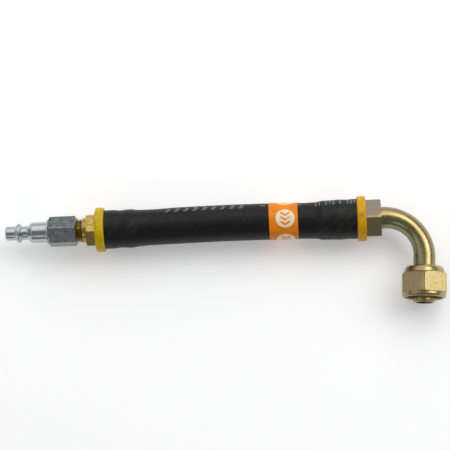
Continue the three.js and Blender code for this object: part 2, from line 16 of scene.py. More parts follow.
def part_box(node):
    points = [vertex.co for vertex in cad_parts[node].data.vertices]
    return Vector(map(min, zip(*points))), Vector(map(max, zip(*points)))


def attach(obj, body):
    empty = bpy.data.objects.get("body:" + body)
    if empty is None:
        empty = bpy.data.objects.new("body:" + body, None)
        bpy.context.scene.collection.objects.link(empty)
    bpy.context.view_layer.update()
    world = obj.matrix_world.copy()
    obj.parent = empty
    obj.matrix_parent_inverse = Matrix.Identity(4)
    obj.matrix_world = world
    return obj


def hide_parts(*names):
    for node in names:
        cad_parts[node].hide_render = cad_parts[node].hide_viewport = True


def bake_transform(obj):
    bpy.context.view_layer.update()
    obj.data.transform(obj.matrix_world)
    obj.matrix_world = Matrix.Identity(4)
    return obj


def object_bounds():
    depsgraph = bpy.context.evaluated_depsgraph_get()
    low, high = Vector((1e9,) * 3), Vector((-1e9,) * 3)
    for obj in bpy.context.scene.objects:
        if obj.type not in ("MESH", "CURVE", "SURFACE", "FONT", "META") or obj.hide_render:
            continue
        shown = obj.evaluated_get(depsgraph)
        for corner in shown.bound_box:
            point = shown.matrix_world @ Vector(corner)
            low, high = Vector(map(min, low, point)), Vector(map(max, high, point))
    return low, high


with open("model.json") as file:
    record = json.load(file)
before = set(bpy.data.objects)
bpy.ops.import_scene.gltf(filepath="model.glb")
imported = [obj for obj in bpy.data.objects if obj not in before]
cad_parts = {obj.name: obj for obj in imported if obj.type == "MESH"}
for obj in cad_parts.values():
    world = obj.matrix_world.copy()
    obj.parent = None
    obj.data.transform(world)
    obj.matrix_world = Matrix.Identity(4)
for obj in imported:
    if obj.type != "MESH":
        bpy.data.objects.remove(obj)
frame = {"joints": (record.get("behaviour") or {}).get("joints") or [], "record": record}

bl_info = {
    "name": "Push-on hose assembly",
    "version": (1, 0, 0),
    "blender": (4, 5, 0),
    "location": "3D View > Sidebar > Hose",
    "description": "Builds a push-on hose with a quick-connect plug and a swivel elbow",
    "category": "Add Mesh",
}

CAD_LOW, CAD_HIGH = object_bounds()
MM = 0.001


def along_x(node):
    """Where a node starts and ends along the hose, in metres."""
    low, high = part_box(node)
    return low[0], high[0]


def joint_named(name):
    return next(joint for joint in frame["joints"] if joint["name"] == name)


def mount_place(name):
    return Vector(next(mount for mount in frame["record"]["mounts"] if mount["name"] == name)["pos_m"])


# The hose axis and the stations along it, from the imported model.
HOSE_LOW, HOSE_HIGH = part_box("hose_cover")
AXIS_Y = (HOSE_LOW[1] + HOSE_HIGH[1]) / 2
AXIS_Z = (HOSE_LOW[2] + HOSE_HIGH[2]) / 2
HOSE_START, HOSE_END = along_x("hose_cover")
PLUG_START, PLUG_END = along_x("quick_connect_plug")
BRASS_START, BRASS_TIP = along_x("brass_barb_fitting")
PLUG_RING_START, PLUG_RING_END = along_x("plug_end_ring")
ELBOW_RING_START, ELBOW_RING_END = along_x("elbow_end_ring")
NIPPLE_TIP, NIPPLE_END = along_x("elbow_barb_nipple")
LABEL_START, LABEL_END = along_x("wrap_label")

# The leg of the elbow is the axis that the nut turns about.
LEG_POINT = Vector(joint_named("nut_swivel")["pos_m"])
LEG_DIRECTION = Vector(joint_named("nut_swivel")["axis"]).normalized()
BEND_ANGLE = math.acos(LEG_DIRECTION.x)
BEND_RADIUS = (AXIS_Y - LEG_POINT.y) / (1 - math.cos(BEND_ANGLE))
TUBE_LEG = (mount_place("pilot_tip_face") - LEG_POINT).dot(LEG_DIRECTION) / MM
NUT_MOUTH = (mount_place("nut_mouth_face") - LEG_POINT).dot(LEG_DIRECTION) / MM

# Hose, in millimetres.
HOSE_BORE = 12.7
HOSE_OUTER = 21.2
LINING_WALL = 1.5
BRAID_THICKNESS = 0.9
NECK_DIP = 0.35
RING_FLOOR = 1.1
GRIP_AT_END = 0.65

# Barbed stems: first barb, barb pitch, crest diameters, stem length, and the share of a barb's height
# that the rubber keeps between two barbs.
BRASS_STEM = {"first": 9.5, "pitch": 10.5, "crests": (14.6, 14.6), "length": 24.6, "between": 0.45}
NIPPLE_STEM = {"first": 6.2, "pitch": 9.0, "crests": (15.8, 15.8, 15.0), "length": 28.4, "between": 0.8}
STEM_DIAMETER = 12.4
STEM_TIP_DIAMETER = 11.8

# Taper pipe thread and swivel nut thread.
PIPE_PITCH_RADIUS = 6.065
PIPE_DEPTH = 1.13
PIPE_PITCH = 1.411
PIPE_TAPER = 1 / 16
PIPE_SHOULDER = 2.1
PIPE_SHOULDER_RADIUS = 7.05
NUT_PITCH = 1.814

# Elbow tube, with its pilot, the bead that keeps the nut, and the seal.
TUBE_OUTER = 12.7
TUBE_WALL = 1.65
BEND_FLATTENING = 0.07
TUBE_LEAD = 7.5
PILOT_LENGTH = 10.2
BEAD_WIDTH = 2.4
BEAD_RADIUS = 8.7
SEAL_SECTION = 0.9

# Hexagons: width across flats, and how far a corner is turned from the top, in degrees.
PLUG_FLATS, PLUG_TURN = 15.9, -5
BRASS_FLATS, BRASS_TURN = 17.46, 14
NIPPLE_FLATS, NIPPLE_TURN = 21.1, 8
NUT_FLATS, NUT_TURN = 25.4, 2.3
BRASS_HEX_LENGTH = 5.5
NUT_LENGTH = 18.4

# Cup rings.
PLUG_RING_OUTER = 25.9
ELBOW_RING_OUTER = 26.2
RING_LENGTH = 5.35
RING_BORE_RADIUS = 6.35
CUP_CLEARANCE = 0.12

# Marks on the hose and on the label, with angles from the top in degrees.
LAY_LINE_ANGLE = -54
INK_THICKNESS = 0.03
LABEL_THICKNESS = 0.2
LABEL_SEAM_ANGLE = 205
DISC_FIRST_ANGLE = -82.3
DISC_PITCH_ANGLE = 82
DISC_OFFSET = 1.0

# Soft lights: name, direction from the assembly, width and height in metres, and power in watts.
LIGHT_DISTANCE = 1.3
LIGHTS = (
    ("Back", (-0.1, 0.78, 0.62), (1.8, 1.2), 7.4),
    ("Key", (0.5, 0.43, 0.75), (1.0, 0.9), 5.8),
    ("Side", (0.77, 0.165, 0.61), (0.45, 0.6), 2.3),
    ("Top", (-0.2, 0.33, 0.93), (0.9, 0.25), 0.7),
    ("Fill", (-0.8, -0.05, 0.6), (0.9, 0.9), 1.8),
    ("Front", (-0.35, -0.72, 0.6), (0.5, 0.3), 0.6),
)

# The way round the hose in metres, what a hexagon's corner has lost, and how finely meshes are cut.
ROUND_THE_HOSE = 0.0666
CORNER_BREAK = 0.12
ROWS_PER_PITCH = 14.0
FLAT_SEGMENTS = 14
ROUND_SEGMENTS = 96


def linear(red, green, blue):
    """A screen colour of 0 to 255 as the linear colour that shaders take."""
    def channel(value):
        value /= 255
        return value / 12.92 if value <= 0.04045 else ((value + 0.055) / 1.055) ** 2.4
    return (channel(red), channel(green), channel(blue))


# Tints of the yellow plating round each piece, from 0 to 1 with the top at a half, as screen colours. The
# nipple, tube and nut tables are partly plating tint and partly painted light, lighter or darker by side; the
# fleck tints are the plating's own.
# Partly plating tint, partly painted light: the flat towards the front, from 0.52 to 0.68, is painted lighter
# than the upper flat.
NIPPLE_TINTS_AND_PAINTED_LIGHT = ((0.3, 120, 112, 88), (0.36, 128, 119, 108), (0.48, 128, 118, 106), (0.52, 166, 150, 112),
                (0.68, 160, 142, 106), (0.8, 118, 110, 84))
# Partly the plating's pink, straw and green tints, partly painted highlight and shade: lightest at 0.41 to
# 0.46, where the highlight falls, and darker towards both sides.
TUBE_TINTS_AND_PAINTED_HIGHLIGHT = ((0.22, 132, 124, 88), (0.34, 146, 138, 102), (0.41, 172, 144, 116), (0.46, 172, 158, 104),
              (0.53, 154, 148, 106), (0.6, 124, 132, 98), (0.68, 116, 128, 106), (0.75, 128, 116, 112))
# Partly plating tint, partly painted highlight: lightest on the flat from 0.34 to 0.5, which faces the side
# light, and darker on the flats turned away from it.
NUT_TINTS_AND_PAINTED_HIGHLIGHT = ((0.2, 126, 118, 88), (0.34, 176, 160, 108), (0.5, 182, 162, 116), (0.53, 146, 132, 106),
             (0.68, 140, 126, 98), (0.8, 124, 114, 86))
FLECK_TINTS = ((0.34, 110, 128, 100), (0.46, 176, 160, 92), (0.56, 196, 150, 112), (0.68, 128, 104, 96))


# Settings


def length_setting(name, description, millimetres):
    return bpy.props.FloatProperty(
        name=name, description=description, default=millimetres * MM, unit="LENGTH")


def colour_setting(name, description, *screen):
    return bpy.props.FloatVectorProperty(
        name=name, description=description, default=linear(*screen), subtype="COLOR", min=0, max=1)


class HoseAssemblySizes(bpy.types.PropertyGroup):
    hose_bow: length_setting("Hose bow", "How far the middle of the hose bows sideways", 0.8)
    edge_softness: length_setting("Edge softness", "Radius on the edges of the turned parts", 0.18)
    print_height: length_setting("Print height", "Height of the marks printed along the hose", 5.0)
    disc_diameter: length_setting("Disc diameter", "Diameter of the pale discs on the label", 11.0)


class HoseAssemblyFinishes(bpy.types.PropertyGroup):
    steel: colour_setting("Plug steel", "Clear zinc plating on the plug", 142, 150, 149)
    brass: colour_setting("Brass", "Machined brass of the hose fitting", 178, 154, 86)
    gold_zinc: colour_setting("Gold zinc", "Yellow plating on the elbow and its nut", 150, 140, 106)
    lemon: colour_setting("Lemon ring", "Plastic of the ring at the plug end", 206, 172, 0)
    amber: colour_setting("Amber ring", "Plastic of the ring at the elbow end", 214, 160, 8)
    rubber: colour_setting("Hose rubber", "Outer cover of the hose", 13, 14, 12)
    orange: colour_setting("Label orange", "Film of the wrap label", 236, 134, 0)
    ink: colour_setting("Hose ink", "Ink of the marks along the hose", 96, 103, 108)


# Outlines: closed lists of (station, radius) in metres, up the outside and back along the bore.


def walled(outside, bore):
    return list(outside) + list(reversed(bore))


def in_metres(points, start=0.0, sign=1):
    """Points in millimetres from a start, as stations in metres."""
    return [(start + sign * station * MM, radius * MM) for station, radius in points]


def softened(outline, radius, steps=3):
    """The outline with every corner rounded, as far as its sides allow."""
    points = [Vector(point) for point in outline]
    soft = []
    for index, corner in enumerate(points):
        before, after = points[index - 1], points[(index + 1) % len(points)]
        back, ahead = before - corner, after - corner
        if back.length < 1e-7 or ahead.length < 1e-7 or back.angle(ahead) > math.radians(176):
            soft.append(tuple(corner))
            continue
        first = corner + back.normalized() * min(radius, 0.45 * back.length)
        last = corner + ahead.normalized() * min(radius, 0.45 * ahead.length)
        for step in range(steps + 1):
            t = step / steps
            soft.append(tuple(first * (1 - t) ** 2 + corner * 2 * t * (1 - t) + last * t * t))
    return soft


def refined(outline, longest):
    """The outline with long stretches cut into pieces no longer than the given length."""
    fine = []
    for index, (station, radius) in enumerate(outline):
        next_station, next_radius = outline[(index + 1) % len(outline)]
        length = math.hypot(next_station - station, next_radius - radius)
        pieces = max(1, math.ceil(length / longest))
        for piece in range(pieces):
            t = piece / pieces
            fine.append((station + (next_station - station) * t, radius + (next_radius - radius) * t))
    return fine


def stem_outside(stem):
    """A barbed stem from its hexagon to its tip, in millimetres."""
    root = STEM_DIAMETER / 2
    points = [(0, root)]
    for barb, crest in enumerate(stem["crests"]):
        distance = stem["first"] + barb * stem["pitch"]
        points += [(distance - 0.7, root), (distance, crest / 2), (distance + 0.5, crest / 2)]
        if barb + 1 < len(stem["crests"]):
            points.append((distance + 4.8, root))
    points.append((stem["length"], STEM_TIP_DIAMETER / 2))
    return points


def grip_points(stem):
    """The hose bore over a barbed stem: (distance from the hexagon, radius) in millimetres."""
    rest, length = HOSE_BORE / 2, stem["length"]
    rise = stem["crests"][0] / 2 + 0.05 - rest
    points = [(RING_FLOOR, rest + GRIP_AT_END * rise)]
    for barb, crest in enumerate(stem["crests"]):
        distance = stem["first"] + barb * stem["pitch"]
        points += [(distance - 0.3, crest / 2 + 0.05), (distance + 0.9, crest / 2 + 0.05)]
        if barb + 1 < len(stem["crests"]):
            points.append((distance + stem["pitch"] / 2, rest + stem["between"] * rise))
    points += [(length + 1, rest), (length + 8, rest - NECK_DIP), (length + 22, rest)]
    return points


HEX_AT_PLUG_END = BRASS_TIP - BRASS_STEM["length"] * MM
HEX_AT_ELBOW_END = NIPPLE_TIP + NIPPLE_STEM["length"] * MM
BORE_KNOTS = in_metres(grip_points(BRASS_STEM), HEX_AT_PLUG_END) + list(
    reversed(in_metres(grip_points(NIPPLE_STEM), HEX_AT_ELBOW_END, -1)))


def bore_radius(stations):
    """The hose bore's radius, eased from knot to knot."""
    knots = np.array(BORE_KNOTS)
    stations = np.asarray(stations, float)
    upper = np.clip(np.searchsorted(knots[:, 0], stations), 1, len(knots) - 1)
    low, high = knots[upper - 1], knots[upper]
    t = np.clip((stations - low[:, 0]) / (high[:, 0] - low[:, 0]), 0, 1)
    eased = t * t * (3 - 2 * t)
    return low[:, 1] + (high[:, 1] - low[:, 1]) * eased


def layer_radius(stations, rest_diameter):
    """A hose layer's radius where the bore is stretched: the rubber keeps its volume."""
    rest = rest_diameter / 2 * MM
    return np.sqrt(bore_radius(stations) ** 2 + rest**2 - (HOSE_BORE / 2 * MM) ** 2)


# Meshes


def along_hose(stations):
    """Points on the hose axis, their side direction and no flattening."""
    stations = np.asarray(stations, float)
    origins = np.stack([stations, np.full_like(stations, AXIS_Y), np.full_like(stations, AXIS_Z)], 1)
    sides = np.tile([0.0, -1.0, 0.0], (len(stations), 1))
    return origins, sides, np.zeros_like(stations)


def along_elbow(stations):
    """Points on the elbow's centreline, with station 0 at the end of the bend."""
    stations = np.asarray(stations, float)
    bend_start_x = LEG_POINT.x - BEND_RADIUS * math.sin(BEND_ANGLE)
    travelled = stations + BEND_RADIUS * BEND_ANGLE
    angle = np.clip(travelled / BEND_RADIUS, 0, BEND_ANGLE)
    straight = travelled - angle * BEND_RADIUS
    x = bend_start_x + BEND_RADIUS * np.sin(angle) + straight * np.cos(angle)
    y = AXIS_Y + BEND_RADIUS * (np.cos(angle) - 1) - straight * np.sin(angle)
    origins = np.stack([x, y, np.full_like(x, AXIS_Z)], 1)
    sides = np.stack([-np.sin(angle), -np.cos(angle), np.zeros_like(x)], 1)
    return origins, sides, BEND_FLATTENING * np.sin(math.pi * angle / BEND_ANGLE)


def round_angles(count=ROUND_SEGMENTS):
    return np.arange(count) * 2 * math.pi / count


def hex_angles(turn_degrees, flats, corner_break):
    """Angles round a hexagon, with two close together at each corner."""
    corner = flats / math.sqrt(3) - corner_break
    half = math.acos(min(1.0, flats / 2 / corner))
    edge = math.pi / 6 - half
    angles = []
    for side in range(6):
        start = math.radians(turn_degrees) + side * math.pi / 3
        angles += list(np.linspace(start + edge, start + math.pi / 3 - edge, FLAT_SEGMENTS))
    return np.array(angles)


def past_corner(flats):
    """A radius just past the corners of a hexagon."""
    return flats / math.sqrt(3) + 0.1


def hex_radius(angles, turn_degrees, flats):
    """The hexagon's radius at each angle, with corners towards the turned angle."""
    from_corner = (angles - math.radians(turn_degrees)) % (math.pi / 3)
    return flats / 2 / np.cos(from_corner - math.pi / 6)


def revolve(name, outline, angles, route, limit=None, swell=None):
    """A closed mesh swept round a route. limit cuts the radius at each angle, swell adds to it."""
    outline = np.array(outline, float)
    origins, sides, flattening = route(outline[:, 0])
    radius = np.repeat(outline[:, 1:2], len(angles), axis=1)
    if limit is not None:
        radius = np.minimum(radius, limit[None, :])
    if swell is not None:
        radius = radius + swell
    across = radius * np.sin(angles)[None, :] * (1 - flattening[:, None])
    upward = radius * np.cos(angles)[None, :] * (1 + flattening[:, None] / 2)
    points = origins[:, None, :] + sides[:, None, :] * across[:, :, None]
    points[:, :, 2] += upward
    rings, count = radius.shape
    faces, uvs = [], []
    turns = np.append(angles, angles[0] + 2 * math.pi) / (2 * math.pi)
    for i in range(rings):
        j = (i + 1) % rings
        for k in range(count):
            n = (k + 1) % count
            faces.append((i * count + k, i * count + n, j * count + n, j * count + k))
            low = (turns[k] + 0.5) % 1
            high = low + turns[k + 1] - turns[k]
            uvs += [(outline[i, 0], low), (outline[i, 0], high),
                    (outline[j, 0], high), (outline[j, 0], low)]
    mesh = bpy.data.meshes.new(name)
    mesh.from_pydata(points.reshape(-1, 3).tolist(), [], faces)
    layer = mesh.uv_layers.new(name="UVMap")
    layer.data.foreach_set("uv", np.array(uvs, np.float32).ravel())
    return mesh


def turned_round(name, outline, route=along_hose, segments=ROUND_SEGMENTS):
    return revolve(name, outline, round_angles(segments), route)


def turned_from_hex(name, outline, flats, turn_degrees, route=along_hose):
    """A piece turned from hexagon bar, with its corners just broken."""
    flats *= MM
    angles = hex_angles(turn_degrees, flats, CORNER_BREAK * MM)
    limit = hex_radius(angles, turn_degrees, flats)
    return revolve(name, outline, angles, route, limit=limit)


def mesh_points(mesh):
    points = np.empty(len(mesh.vertices) * 3)
    mesh.vertices.foreach_get("co", points)
    return points.reshape(-1, 3)


def boundary(work):
    return [edge for edge in work.edges if edge.is_boundary]


def pushed_rims(work):
    """New vertices extruded from the open edges of a bmesh."""
    grown_rims = bmesh.ops.extrude_edge_only(work, edges=boundary(work))["geom"]
    return [item for item in grown_rims if isinstance(item, bmesh.types.BMVert)]


def as_mesh(name, work):
    """The plain mesh of a bmesh, which is freed."""
    mesh = bpy.data.meshes.new(name)
    work.to_mesh(mesh)
    work.free()
    return mesh


def linked_object(name, data):
    made = bpy.data.objects.new(name, data)
    bpy.context.scene.collection.objects.link(made)
    return made


def joined(name, meshes):
    """One mesh of several, each with its faces turned outwards."""
    whole = bmesh.new()
    for mesh in meshes:
        part = bmesh.new()
        part.from_mesh(mesh)
        bmesh.ops.recalc_face_normals(part, faces=part.faces)
        part.to_mesh(mesh)
        part.free()
        whole.from_mesh(mesh)
    return as_mesh(name, whole)


def piece(name, mesh, material, slot, sharp_degrees=28):
    """A named object of one mesh, smooth but for its sharp edges."""
    mesh = joined(name, [mesh] if isinstance(mesh, bpy.types.Mesh) else mesh)
    mesh.materials.clear()
    mesh.materials.append(material)
    mesh.polygons.foreach_set("use_smooth", np.ones(len(mesh.polygons), bool))
    mesh.polygons.foreach_set("material_index", np.zeros(len(mesh.polygons), np.int32))
    mesh.set_sharp_from_angle(angle=math.radians(sharp_degrees))
    made = linked_object(name, mesh)
    return made


# Geometry Nodes


class Wiring:
    """Adds nodes to a tree and feeds their sockets with values or links."""

    def __init__(self, tree):
        self.tree = tree

    def node(self, kind, settings=None, **values):
        made = self.tree.nodes.new(kind)
        for key, value in (settings or {}).items():
            setattr(made, key, value)
        for key, value in values.items():
            self.feed(made.inputs[key.replace("_", " ")], value)
        return made

    def feed(self, socket, value):
        if isinstance(value, bpy.types.NodeSocket):
            self.tree.links.new(value, socket)
        else:
            socket.default_value = value

    def math(self, operation, *values):
        made = self.node("ShaderNodeMath", {"operation": operation})
        for socket, value in zip(made.inputs, values):
            self.feed(socket, value)
        return made.outputs[0]

    def times(self, first, second):
        return self.math("MULTIPLY", first, second)

    def parts(self, vector):
        return self.node("ShaderNodeSeparateXYZ", Vector=vector).outputs

    def between(self, value, low=0.0, high=1.0, out_low=0.0, out_high=1.0):
        return self.node("ShaderNodeMapRange", Value=value, From_Min=low, From_Max=high,
                         To_Min=out_low, To_Max=out_high).outputs[0]


class NodeTree(Wiring):
    """A geometry tree with named inputs."""

    def __init__(self, name, inputs):
        super().__init__(bpy.data.node_groups.new(name, "GeometryNodeTree"))
        self.identifiers = {}
        for label, kind, default in inputs:
            socket = self.tree.interface.new_socket(label, in_out="INPUT", socket_type=f"NodeSocket{kind}")
            if default is not None:
                socket.default_value = default
            self.identifiers[label] = socket.identifier
        self.tree.interface.new_socket("Geometry", in_out="OUTPUT", socket_type="NodeSocketGeometry")
        self.inputs = self.tree.nodes.new("NodeGroupInput").outputs
        self.output = self.tree.nodes.new("NodeGroupOutput")

    def xyz(self, x, y, z):
        return self.node("ShaderNodeCombineXYZ", X=x, Y=y, Z=z).outputs[0]

    def position(self):
        return self.parts(self.node("GeometryNodeInputPosition").outputs[0])

    def rolled(self, x, radius, angle):
        """A place at a radius and an angle round +X, from +Z towards -Y."""
        return self.xyz(x, self.times(radius, self.times(self.math("SINE", angle), -1.0)),
                        self.times(radius, self.math("COSINE", angle)))

    def finish(self, geometry, material):
        realized = self.node("GeometryNodeRealizeInstances", Geometry=geometry)
        finished = self.node("GeometryNodeSetMaterial", Geometry=realized.outputs[0], Material=material)
        self.tree.links.new(finished.outputs[0], self.output.inputs[0])


def grown(tree, name, values):
    """The plain mesh that a geometry tree makes with these input values."""
    holder = linked_object(name, bpy.data.meshes.new(name))
    modifier = holder.modifiers.new("Grow", "NODES")
    modifier.node_group = tree.tree
    for label, value in values.items():
        modifier[tree.identifiers[label]] = value
    depsgraph = bpy.context.evaluated_depsgraph_get()
    mesh = bpy.data.meshes.new_from_object(holder.evaluated_get(depsgraph))
    mesh.name = name
    holder.modifiers.clear()
    bpy.data.objects.remove(holder)
    return mesh


def thread_tree():
    """A screw thread's surface round +X: a grid rolled up, with a ridge that climbs as it turns."""
    tree = NodeTree("Screw thread", [
        ("Length", "Float", 0.01), ("Pitch", "Float", 0.001),
        ("Root Radius", "Float", 0.01), ("Crest Radius", "Float", 0.011), ("Taper", "Float", 0.0),
        ("Start Fade", "Float", 0.0005), ("End Fade", "Float", 0.0005), ("Material", "Material", None),
    ])
    length, pitch, root, crest, taper, start_fade, end_fade, material = list(tree.inputs)[:8]
    rows = tree.math("ROUND", tree.times(tree.math("DIVIDE", length, pitch), ROWS_PER_PITCH))
    grid = tree.node("GeometryNodeMeshGrid", Size_X=length, Size_Y=1.0,
                     Vertices_X=rows, Vertices_Y=ROUND_SEGMENTS + 1)
    place = tree.position()
    station = tree.math("ADD", place["X"], tree.times(length, 0.5))
    turn = tree.math("ADD", place["Y"], 0.5)
    climb = tree.math("FRACT", tree.math("SUBTRACT", tree.math("DIVIDE", station, pitch), turn))
    tooth = tree.math("SUBTRACT", 1.0, tree.math(
        "ABSOLUTE", tree.math("SUBTRACT", tree.times(climb, 2.0), 1.0)))
    ridge = tree.between(tooth, 0.12, 0.88)
    start = tree.between(tree.math("DIVIDE", station, start_fade))
    end = tree.between(tree.math("DIVIDE", tree.math("SUBTRACT", length, station), end_fade))
    height = tree.times(tree.math("SUBTRACT", crest, root), tree.times(ridge, tree.times(start, end)))
    widening = tree.times(station, tree.times(taper, 0.5))
    radius = tree.math("ADD", tree.math("ADD", root, height), widening)
    rolled = tree.rolled(station, radius, tree.times(turn, 2 * math.pi))
    moved = tree.node("GeometryNodeSetPosition", Geometry=grid.outputs[0], Position=rolled)
    merged = tree.node("GeometryNodeMergeByDistance", Geometry=moved.outputs[0], Distance=1e-7)
    tree.finish(merged.outputs[0], material)
    return tree


def backed_thread(tree, name, backing, route, start, values):
    """A thread surface closed into a sleeve by a plain wall at the backing radius, put on a route."""
    mesh = grown(tree, name, values)
    sleeve = bmesh.new()
    sleeve.from_mesh(mesh)
    for vertex in pushed_rims(sleeve):
        vertex.co.yz = vertex.co.yz.normalized() * backing
    bmesh.ops.bridge_loops(sleeve, edges=boundary(sleeve))
    local = np.array([vertex.co for vertex in sleeve.verts])
    origins, sides, _ = route(start + local[:, 0])
    placed = origins + sides * -local[:, 1:2]
    placed[:, 2] += local[:, 2]
    for vertex, point in zip(sleeve.verts, placed):
        vertex.co = point
    sleeve.to_mesh(mesh)
    sleeve.free()
    return mesh


def strip_tree():
    """Flat marks set out along and round a cylinder about X, then rolled onto it."""
    tree = NodeTree("Marks round a hose", [
        ("Mark", "Object", None), ("Count Along", "Int", 1), ("Step Along", "Float", 0.01),
        ("Count Round", "Int", 1), ("Step Round", "Float", 0.01), ("Start Round", "Float", 0.0),
        ("Radius", "Float", 0.01), ("Width Change", "Float", 0.0), ("Seed", "Int", 1),
        ("Material", "Material", None),
    ])
    mark, count_along, step_along, count_round, step_round = list(tree.inputs)[:5]
    start_round, rest_radius, change, seed, material = list(tree.inputs)[5:10]
    source = tree.node("GeometryNodeObjectInfo", Object=mark)
    along = tree.node("GeometryNodeMeshLine", Count=count_along, Offset=tree.xyz(step_along, 0.0, 0.0))
    around = tree.node("GeometryNodeMeshLine", Count=count_round, Offset=tree.xyz(0.0, step_round, 0.0),
                       Start_Location=tree.xyz(0.0, start_round, 0.0))
    rows = tree.node("GeometryNodeInstanceOnPoints", Points=around.outputs[0], Instance=along.outputs[0])
    points = tree.node("GeometryNodeRealizeInstances", Geometry=rows.outputs[0])
    stretch = tree.node("FunctionNodeRandomValue", {"data_type": "FLOAT"}, Seed=seed)
    least, most = [socket for socket in stretch.inputs if socket.type == "VALUE" and socket.enabled][:2]
    tree.feed(least, tree.math("SUBTRACT", 1.0, change))
    tree.feed(most, 1.0)
    amount = next(socket for socket in stretch.outputs if socket.type == "VALUE" and socket.enabled)
    marks = tree.node("GeometryNodeInstanceOnPoints", Points=points.outputs[0],
                      Instance=source.outputs["Geometry"], Scale=tree.xyz(amount, 1.0, 1.0))
    flat = tree.node("GeometryNodeRealizeInstances", Geometry=marks.outputs[0])
    place = tree.position()
    angle = tree.math("DIVIDE", place["Y"], rest_radius)
    rolled = tree.rolled(place["X"], tree.math("ADD", rest_radius, place["Z"]), angle)
    moved = tree.node("GeometryNodeSetPosition", Geometry=flat.outputs[0], Position=rolled)
    tree.finish(moved.outputs[0], material)
    return tree


# Materials


class Finish(Wiring):
    """A material built round one Principled shader."""

    def __init__(self, name, colour, **values):
        self.material = bpy.data.materials.new(name)
        self.material.use_nodes = True
        super().__init__(self.material.node_tree)
        self.shader = self.tree.nodes["Principled BSDF"]
        self.shader.inputs["Base Color"].default_value = (*colour, 1)
        for key, value in values.items():
            self.shader.inputs[key.replace("_", " ")].default_value = value
        coordinates = self.node("ShaderNodeTexCoord")
        self.object_place = coordinates.outputs["Object"]
        self.uv_place = coordinates.outputs["UV"]

    def stretched(self, place, scale):
        return self.node("ShaderNodeMapping", Vector=place, Scale=scale).outputs[0]

    def turned(self, place, angle):
        return self.node("ShaderNodeMapping", Vector=place, Rotation=(0, 0, angle)).outputs[0]

    def around(self):
        """How far round the piece a point is, from 0 to 1, with the top at a half."""
        return self.parts(self.uv_place)["Y"]

    def noise(self, scale, detail=3.0, distortion=0.0, place=None):
        """Noise over the object, or over a place. Three scales stretch it."""
        place = place or self.object_place
        if isinstance(scale, tuple):
            place, scale = self.stretched(place, scale), 1.0
        return self.node("ShaderNodeTexNoise", Vector=place, Scale=scale, Detail=detail, Roughness=0.55,
                         Distortion=distortion).outputs[0]

    def distance(self, place, point):
        node = self.node("ShaderNodeVectorMath", {"operation": "DISTANCE"}, Vector=place)
        node.inputs[1].default_value = point
        return node.outputs["Value"]

    def ramp(self, value, stops):
        node = self.tree.nodes.new("ShaderNodeValToRGB")
        self.feed(node.inputs[0], value)
        elements = node.color_ramp.elements
        while len(elements) < len(stops):
            elements.new(0.5)
        for element, (position, colour) in zip(elements, stops):
            element.position = position
            element.color = (*colour, 1)
        return node.outputs[0]

    def mix(self, share, first, second):
        node = self.node("ShaderNodeMix", {"data_type": "RGBA"}, Factor=share)
        colours = [socket for socket in node.inputs if socket.type == "RGBA"]
        for socket, value in zip(colours, (first, second)):
            self.feed(socket, value if isinstance(value, bpy.types.NodeSocket) else (*value, 1))
        return next(socket for socket in node.outputs if socket.type == "RGBA")

    def colour(self, value):
        self.feed(self.shader.inputs["Base Color"], value)

    def roughness(self, value):
        self.feed(self.shader.inputs["Roughness"], value)

    def bump(self, height, distance, strength=1.0):
        node = self.node("ShaderNodeBump", Distance=distance, Strength=strength, Height=height)
        existing = self.shader.inputs["Normal"].links
        if existing:
            self.feed(node.inputs["Normal"], existing[0].from_socket)
        self.feed(self.shader.inputs["Normal"], node.outputs[0])


def scaled(colour, factor):
    return tuple(min(1.0, channel * factor) for channel in colour)


def plated_steel(name, colour, flats_start):
    """Clear zinc over steel: bright with faint rings where it is turned, greyer on the hexagon's flats."""
    finish = Finish(name, colour, Metallic=1.0, Roughness=0.26)
    rings = finish.noise((5200, 90, 90), detail=2)
    cloud = finish.noise(420, detail=4, distortion=0.6)
    mottle = finish.noise(1700)
    station = finish.parts(finish.object_place)["X"]
    drawn = finish.between(station, flats_start - 0.3 * MM, flats_start + 0.3 * MM)
    base = finish.mix(drawn, scaled(colour, 1.7), colour)
    worn = finish.mix(finish.between(cloud, 0.3, 0.7), scaled(colour, 0.75), scaled(colour, 1.15))
    tone = finish.mix(finish.times(drawn, 0.9), base, worn)
    finish.colour(finish.mix(
        finish.times(finish.between(mottle, 0.52, 0.68), 0.45), tone, scaled(colour, 0.45)))
    finish.roughness(finish.between(cloud, 0.25, 0.75, 0.18, 0.32))
    finish.bump(rings, 0.00002, 0.5)
    finish.bump(mottle, 0.00002, 0.5)
    return finish.material


def machined_brass(name, colour):
    """Bright-drawn brass with a brown tarnish in patches."""
    finish = Finish(name, colour, Metallic=1.0, Roughness=0.3)
    rings = finish.noise((4200, 120, 120), detail=2)
    cloud = finish.noise(420, detail=5, distortion=0.8)
    finish.colour(finish.ramp(cloud, [
        (0.32, scaled(colour, 0.5)), (0.5, scaled(colour, 0.9)), (0.68, scaled(colour, 1.25))]))
    finish.roughness(finish.between(cloud, 0.3, 0.7, 0.38, 0.22))
    finish.bump(rings, 0.00002, 0.5)
    finish.bump(finish.noise(1500, detail=2), 0.00002, 0.4)
    return finish.material


def stops(tints):
    return [(position, linear(*screen)) for position, *screen in tints]


